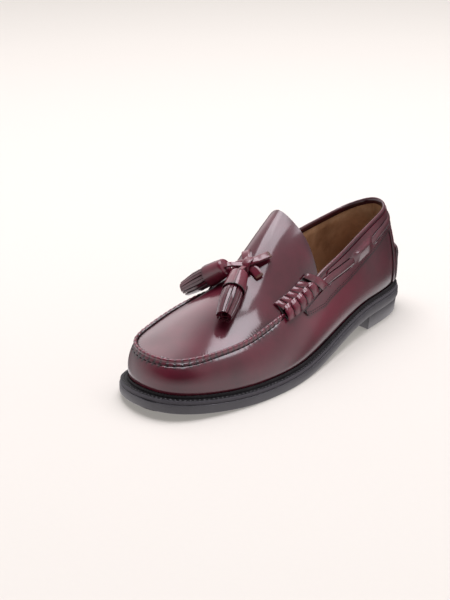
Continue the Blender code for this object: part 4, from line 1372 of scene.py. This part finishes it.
def strap(points, normals, width, thick):
    """A flat bar along points with its flats square to the normals; width may change along it."""
    along = unit(np.gradient(points, axis=0))
    side = unit(np.cross(along, normals))
    up = np.cross(side, along)
    profile = STRAP_HALF + tuple((-w, -t) for w, t in STRAP_HALF) + STRAP_HALF[:1]
    width = np.expand_dims(np.broadcast_to(width, len(points)), -1)
    rings = [points + side * (width * w) + up * (thick * t) for w, t in profile]
    tone = np.array([STRAP_EDGE_TONE if abs(w) > 0.45 else 0.0 for w, _ in profile])
    shape = lay(np.stack(rings, axis=1), tone, closed=True)
    bmesh.ops.holes_fill(shape, edges=[edge for edge in shape.edges if edge.is_boundary])
    bmesh.ops.recalc_face_normals(shape, faces=shape.faces)
    return shape


def join(shapes):
    """One bmesh from several."""
    whole = shapes[0]
    for shape in shapes[1:]:
        part = bpy.data.meshes.new("part")
        shape.to_mesh(part)
        shape.free()
        whole.from_mesh(part)
        bpy.data.meshes.remove(part)
    return whole


print("corners of a strap's section:", 2 * len(STRAP_HALF))

# %% Roll the caps
# length from the top and radius of the rolled cap, then of its open end, over the rim and into the hollow
CAP_HOLLOW = 6.4
CAP_ROLL = ((0.0, 5.3), (0.6, 6.1), (2.0, 6.6), (8.0, 7.4), (17.0, 8.2))
CAP_MOUTH = ((17.2, 7.9), (16.6, 7.2), (11.0, CAP_HOLLOW), (11.0, 0.0))
LAP_STEP = 0.45
LAP_PLACE = 0.985

turns = np.linspace(0, 1, 97)
lap = LAP_STEP * (turns - smooth_step(LAP_PLACE, 1.0, turns))
mouth_lengths, mouth_radii = zip(*CAP_MOUTH)
lengths = np.concatenate([[0.0], np.linspace(0.0, CAP_ROLL[-1][0], 25), mouth_lengths])
radii = np.interp(lengths, *zip(*CAP_ROLL))
radii[0] = 0.0
radii[-len(CAP_MOUTH) :] = mouth_radii
laps = np.ones(len(lengths))
laps[[0, -1]] = 0.0
cap_tone = 0.5 * smooth_step(15.5, 17.0, lengths)[:, None] + 0.5 * (np.abs(turns - LAP_PLACE) < 0.02)


def rolled_cap(start, along, out):
    """The cap of a tassel round its axis, closed at the top and hollow below."""
    side = np.cross(along, out)
    spokes = np.cos(TURN * turns)[:, None] * out + np.sin(TURN * turns)[:, None] * side
    rings = [
        start + along * length + spokes * (radius + lap * full)[:, None]
        for length, radius, full in zip(lengths, radii, laps)
    ]
    shape = lay(np.stack(rings), cap_tone, closed=True)
    bmesh.ops.recalc_face_normals(shape, faces=shape.faces)
    return shape


print("widest radius of a cap in mm:", radii.max())

# %% Hang the fringe
FRINGE_STRIPS = 18
FRINGE_START = 14.0
FRINGE_LENGTH = 29.0
FRINGE_FILL = 0.93
CAP_END = 17.5
# a ring of strips: distance in from the outline, thickness, how much shorter it is than the outer ring
FRINGE_RINGS = ((0.55, 1.1, 0.0), (1.9, 1.0, 1.2), (3.2, 1.0, 2.4))

shuffle = np.random.default_rng(7)


def fringe(start, along, out):
    """Three rings of straps round a tassel's axis, each strap a little different."""
    side = np.cross(along, out)
    strips = []
    for ring, (inset, thick, shorter) in enumerate(FRINGE_RINGS):
        for strip in range(FRINGE_STRIPS):
            turn = TURN * (strip + 0.5 * ring + 0.16 * shuffle.uniform(-1, 1)) / FRINGE_STRIPS
            twist = 0.10 * shuffle.uniform(-1, 1)
            end = FRINGE_ROWS[-1][0] - shorter - 0.5 * shuffle.uniform(0, 1)
            reach = np.linspace(FRINGE_START, end, 15)
            radius = np.interp(reach, *zip(*FRINGE_ROWS)) - inset + 0.25 * shuffle.uniform(-1, 1)
            radius = np.where(reach < CAP_END, np.minimum(radius, CAP_HOLLOW - inset), radius)
            swing = turn + twist * (reach - FRINGE_START) / FRINGE_LENGTH
            spoke = np.cos(swing)[:, None] * out + np.sin(swing)[:, None] * side
            points = start + along * reach[:, None] + spoke * radius[:, None]
            strips.append(strap(points, spoke, FRINGE_FILL * TURN * radius / FRINGE_STRIPS, thick))
    return join(strips)


for name, axis in tassel_axes.items():
    cap_name, strips_name = f"tassel_cap_leather_{name}", f"tassel_strips_{name}"
    make(cap_name, rolled_cap(*axis), thong_calf, [f"tassel_cap_{name}"], sharp=45)
    make(strips_name, fringe(*axis), calf, [f"tassel_fringe_{name}"], sharp=40)

# %% [markdown]
# ## The knot
# The thong that carries the tassels is tied on the apron: two loops lie on the inner side, two cut ends point
# to the outer side, a short turn binds them in the middle, and a thong runs from there to each tassel. Tying
# one long thong in a simulation would not land where the real one lies. So every strand is a strap bent along
# a smooth path that is given by a few points over the apron.


# %% Tie the knot
KNOT_PLACE = (0.597, -0.08)
THONG_WIDTH = 6.6
THONG_THICK = 1.7
CUT_LENGTH = 1.8
CUT_TAPER = (0.98, 0.96, 0.88)
CUT_THIN = 0.9
TASSEL_THONG = 0.62
# strand: points as distance to the outer side, distance to the throat, height off the apron
KNOT_STRANDS = {
    "bind": (
        (0.4, -4.6, 0.8),
        (0.9, -4.0, 3.4),
        (0.6, -1.5, 5.4),
        (0.2, 1.6, 5.4),
        (-0.3, 4.2, 3.6),
        (-0.6, 5.0, 0.9),
    ),
    "loop_low": (
        (0.5, 0.2, 1.4),
        (-4.0, -1.6, 1.2),
        (-8.6, -2.4, 1.8),
        (-9.6, -2.2, 3.2),
        (-6.0, -1.4, 4.4),
        (0.4, 0.2, 4.0),
    ),
    "loop_high": (
        (0.5, 0.6, 1.4),
        (-3.0, 4.0, 1.2),
        (-6.2, 7.6, 1.8),
        (-6.6, 8.0, 3.4),
        (-3.6, 4.6, 4.2),
        (0.2, 0.8, 3.8),
    ),
    "end_high": ((-0.4, 0.0, 3.6), (3.4, 3.6, 4.0), (6.0, 7.4, 3.2), (8.2, 11.2, 2.8)),
    "end_low": ((-0.4, 0.2, 2.2), (4.0, -0.6, 2.4), (7.5, -1.2, 2.2), (10.5, -2.0, 1.9)),
}

knot_middle, knot_out = apron_frame(*KNOT_PLACE)
knot_half = np.linalg.norm(apron(KNOT_PLACE[0], 1.0) - apron(KNOT_PLACE[0], -1.0)) / 2
knot_shapes = []
cut_shapes = []
for strand, rows in KNOT_STRANDS.items():
    path = smooth_path(rows, 33)
    stations = KNOT_PLACE[0] - path[:, 1] / SOLE_LENGTH
    shares = KNOT_PLACE[1] + path[:, 0] / knot_half
    frames = [apron_frame(*at) for at in zip(stations, shares)]
    normals = np.array([normal for _, normal in frames])
    points = np.array([point for point, _ in frames]) + normals * path[:, 2:]
    forward = unit(np.gradient(points, axis=0))
    farthest = points[np.argmax(np.linalg.norm(points - points[0], axis=1))]
    side = unit(np.cross(knot_out, farthest - points[0]))
    knot_shapes.append(strap(points, np.cross(side, forward), THONG_WIDTH, THONG_THICK))
    if strand.startswith("end"):
        tip = points[-1] + forward[-1] * np.linspace(-0.2, CUT_LENGTH, len(CUT_TAPER))[:, None]
        flats = np.tile(np.cross(side, forward)[-1], (len(CUT_TAPER), 1))
        cut_shapes.append(strap(tip, flats, THONG_WIDTH * np.array(CUT_TAPER), CUT_THIN * THONG_THICK))
for start, along, _ in tassel_axes.values():
    run = np.vstack([knot_middle + knot_out * 2.6, start - along * 3.0 + knot_out * 0.5, start + along * 1.5])
    points = smooth_path(run, 13)
    flats = np.tile(knot_out, (len(points), 1))
    knot_shapes.append(strap(points, flats, TASSEL_THONG * THONG_WIDTH, THONG_THICK))
make("knotted_thong", join(knot_shapes), thong_calf, ["knot"], sharp=45)
make("thong_cut_ends", join(cut_shapes), raw_edge, sharp=45)

# %% [markdown]
# ## Floor, light and camera
# The shoe stands on a plain cream floor. A lacquered surface is only as good as what it mirrors. Lamps alone
# would leave black reflections between them, so the studio itself glows, more in some directions than in
# others, as walls and reflectors would. Three soft boxes add to it: one high behind the heel, one overhead,
# and a fill box that lights the shoe without being mirrored in it. The camera looks at the toe and the outer
# side, from a little above.

# %% Floor
scene = bpy.context.scene
scene.view_settings.view_transform = "Standard"

FLOOR_HALF = 6.0
floor_shape = bmesh.new()
bmesh.ops.create_grid(floor_shape, x_segments=1, y_segments=1, size=FLOOR_HALF)
floor_mesh = bpy.data.meshes.new("floor")
floor_shape.to_mesh(floor_mesh)
floor_shape.free()
paper, paper_tree, paper_shader, paper_place = new_material("cream_paper")
fibres = add_node(
    paper_tree,
    "ShaderNodeTexNoise",
    {"Scale": per_metre(4), "Detail": 2.0},
    [("Vector", paper_place)],
)
paper_colour = add_node(
    paper_tree,
    "ShaderNodeMix",
    {"data_type": "RGBA", 6: linear("#a3a09a"), 7: linear("#a5a29c")},
    [(0, fibres.outputs["Fac"])],
)
paper_tree.links.new(paper_colour.outputs[2], paper_shader.inputs["Base Color"])
paper_shader.inputs["Roughness"].default_value = 0.9
paper_shader.inputs["Specular IOR Level"].default_value = 0.0
paper_shader.inputs["Emission Color"].default_value = linear("#f8f3ec")
# The paper glows a little by itself, more the farther it is from the shoe, which keeps the backdrop even
from_shoe = add_node(paper_tree, "ShaderNodeVectorMath", {"operation": "LENGTH"}, [(0, paper_place)])
paper_glow = add_node(
    paper_tree,
    "ShaderNodeMapRange",
    {"From Min": 0.2, "From Max": 1.2, "To Min": 0.26, "To Max": 0.38},
    [("Value", from_shoe.outputs["Value"])],
)
paper_tree.links.new(paper_glow.outputs["Result"], paper_shader.inputs["Emission Strength"])
floor_mesh.materials.append(paper)
floor = bpy.data.objects.new("floor", floor_mesh)
# The gloss mirrors the studio's own glow below the horizon instead of the floor
floor.visible_glossy = False
scene.collection.objects.link(floor)
print("floor:", 2 * FLOOR_HALF, "m wide")

# %% Glow of the studio
world = bpy.data.worlds.new("studio")
world.use_nodes = True
sky = world.node_tree
facing = add_node(sky, "ShaderNodeTexCoord", {})
heading = add_node(sky, "ShaderNodeSeparateXYZ", {}, [("Vector", facing.outputs["Generated"])])
turn_node = add_node(
    sky,
    "ShaderNodeMath",
    {"operation": "ARCTAN2"},
    [(0, heading.outputs["X"]), (1, heading.outputs["Y"])],
)
turn_share = add_node(
    sky,
    "ShaderNodeMapRange",
    {"From Min": -math.pi, "From Max": math.pi, "To Min": 0.0, "To Max": 1.0},
    [("Value", turn_node.outputs["Value"])],
)
# The vertical part of a direction says how high it points: 0.5 is 30 degrees above the horizon
height_share = add_node(
    sky,
    "ShaderNodeMapRange",
    {"From Min": -0.08, "From Max": 0.5, "To Min": 0.0, "To Max": 1.0},
    [("Value", heading.outputs["Z"])],
)
# turn from the heel's direction towards the outer side, glow below the horizon, glow above it
SKY_ROWS = (
    (-180, 1.50, 0.10),
    (-140, 1.60, 0.20),
    (-115, 1.40, 0.80),
    (-95, 1.05, 0.90),
    (-78, 0.50, 1.00),
    (-63, 0.20, 2.60),
    (-54, 0.15, 2.80),
    (-44, 0.12, 1.50),
    (-32, 0.12, 0.60),
    (0, 0.12, 0.45),
    (18, 0.14, 0.70),
    (29, 0.25, 0.80),
    (36, 0.80, 0.85),
    (45, 1.45, 0.85),
    (90, 1.65, 0.85),
    (106, 1.60, 0.15),
    (140, 1.50, 0.10),
    (180, 1.50, 0.10),
)
SKY_PEAK = 2.8
FLOOR_GLOW = 1.6
bands = []
for column in (1, 2):
    band = add_node(sky, "ShaderNodeValToRGB", {}, [("Fac", turn_share.outputs["Result"])])
    stops = band.color_ramp.elements
    for row in SKY_ROWS[1:-1]:
        stops.new(row[0] / 360 + 0.5)
    for stop, row in zip(stops, SKY_ROWS):
        stop.color = (row[column] / SKY_PEAK,) * 3 + (1.0,)
    bands.append(band)
glow = add_node(
    sky,
    "ShaderNodeMix",
    {"data_type": "RGBA"},
    [(0, height_share.outputs["Result"]), (6, bands[0].outputs["Color"]), (7, bands[1].outputs["Color"])],
)
strength = add_node(
    sky,
    "ShaderNodeMath",
    {"operation": "MULTIPLY", 1: SKY_PEAK},
    [(0, glow.outputs[2])],
)
# From 20 degrees below the horizon downwards the glow stands for the floor
near_floor = add_node(
    sky,
    "ShaderNodeMapRange",
    {"From Min": -0.34, "From Max": -0.42, "To Min": 0.0, "To Max": FLOOR_GLOW},
    [("Value", heading.outputs["Z"])],
)
brighter = add_node(
    sky,
    "ShaderNodeMath",
    {"operation": "MAXIMUM"},
    [(0, strength.outputs["Value"]), (1, near_floor.outputs["Result"])],
)
sky.nodes["Background"].inputs["Color"].default_value = linear("#fbf6f8")
sky.links.new(brighter.outputs["Value"], sky.nodes["Background"].inputs["Strength"])
scene.world = world
print("directions of the glow:", len(SKY_ROWS))

# %% Soft boxes
# name, turn from the heel's direction towards the outer side, rise, roll, width, height, watts,
# whether it is mirrored in the gloss
SOFT_BOXES = (
    ("heel_side_box", 22.0, 61.5, 11.0, 1.02, 0.46, 9.0, True),
    ("overhead_box", -98.0, 85.0, 0.0, 0.74, 1.32, 18.0, True),
    ("fill_box", -40.0, 70.0, 0.0, 1.40, 1.40, 22.0, False),
)
BOX_DISTANCE = 1.6
BOX_COLOUR = (0.96, 0.93, 1.0)
for name, turn, rise, roll, width, height, watts, mirrored in SOFT_BOXES:
    turn, rise = math.radians(turn), math.radians(rise)
    towards = Vector((math.sin(turn) * math.cos(rise), math.cos(turn) * math.cos(rise), math.sin(rise)))
    light = bpy.data.lights.new(name, "AREA")
    light.shape = "RECTANGLE"
    light.size = width
    light.size_y = height
    light.energy = watts
    light.color = BOX_COLOUR
    lamp = bpy.data.objects.new(name, light)
    lamp.visible_glossy = mirrored
    lamp.location = towards * BOX_DISTANCE
    facing_shoe = (-towards).to_track_quat("-Z", "Y")
    lamp.rotation_euler = (facing_shoe @ Quaternion((0.0, 0.0, 1.0), math.radians(roll))).to_euler()
    scene.collection.objects.link(lamp)
print("soft boxes:", len(SOFT_BOXES))

# %% Camera
CAMERA_TURN = math.radians(35.2)
CAMERA_RISE = math.radians(20.05)
CAMERA_DISTANCE = 1.205
CAMERA_AIM = Vector((0.0, 0.0, 0.045))
# focal length and shift in pixels of a picture that is 600 high
IMAGE_HEIGHT = 600
FOCAL_PIXELS = 1624
SHIFT_PIXELS = (-50, -5.7)
SENSOR_WIDTH = 36

camera_data = bpy.data.cameras.new("camera")
camera_data.sensor_width = SENSOR_WIDTH
camera_data.lens = FOCAL_PIXELS * SENSOR_WIDTH / IMAGE_HEIGHT
camera_data.shift_x = SHIFT_PIXELS[0] / IMAGE_HEIGHT
camera_data.shift_y = SHIFT_PIXELS[1] / IMAGE_HEIGHT
camera = bpy.data.objects.new("camera", camera_data)
level = math.cos(CAMERA_RISE)
back = Vector((math.sin(CAMERA_TURN) * level, -math.cos(CAMERA_TURN) * level, math.sin(CAMERA_RISE)))
camera.location = CAMERA_AIM + back * CAMERA_DISTANCE
camera.rotation_euler = back.to_track_quat("Z", "Y").to_euler()
scene.collection.objects.link(camera)
scene.camera = camera
print("camera at", [round(c, 3) for c in camera.location])

# %% [markdown]
# ## Finish
# The dressed shoe must fill the same box as the solids, give or take the leather's fullness. The last call
# brings the scene up to date.

# %% Update the scene
bpy.context.view_layer.update()
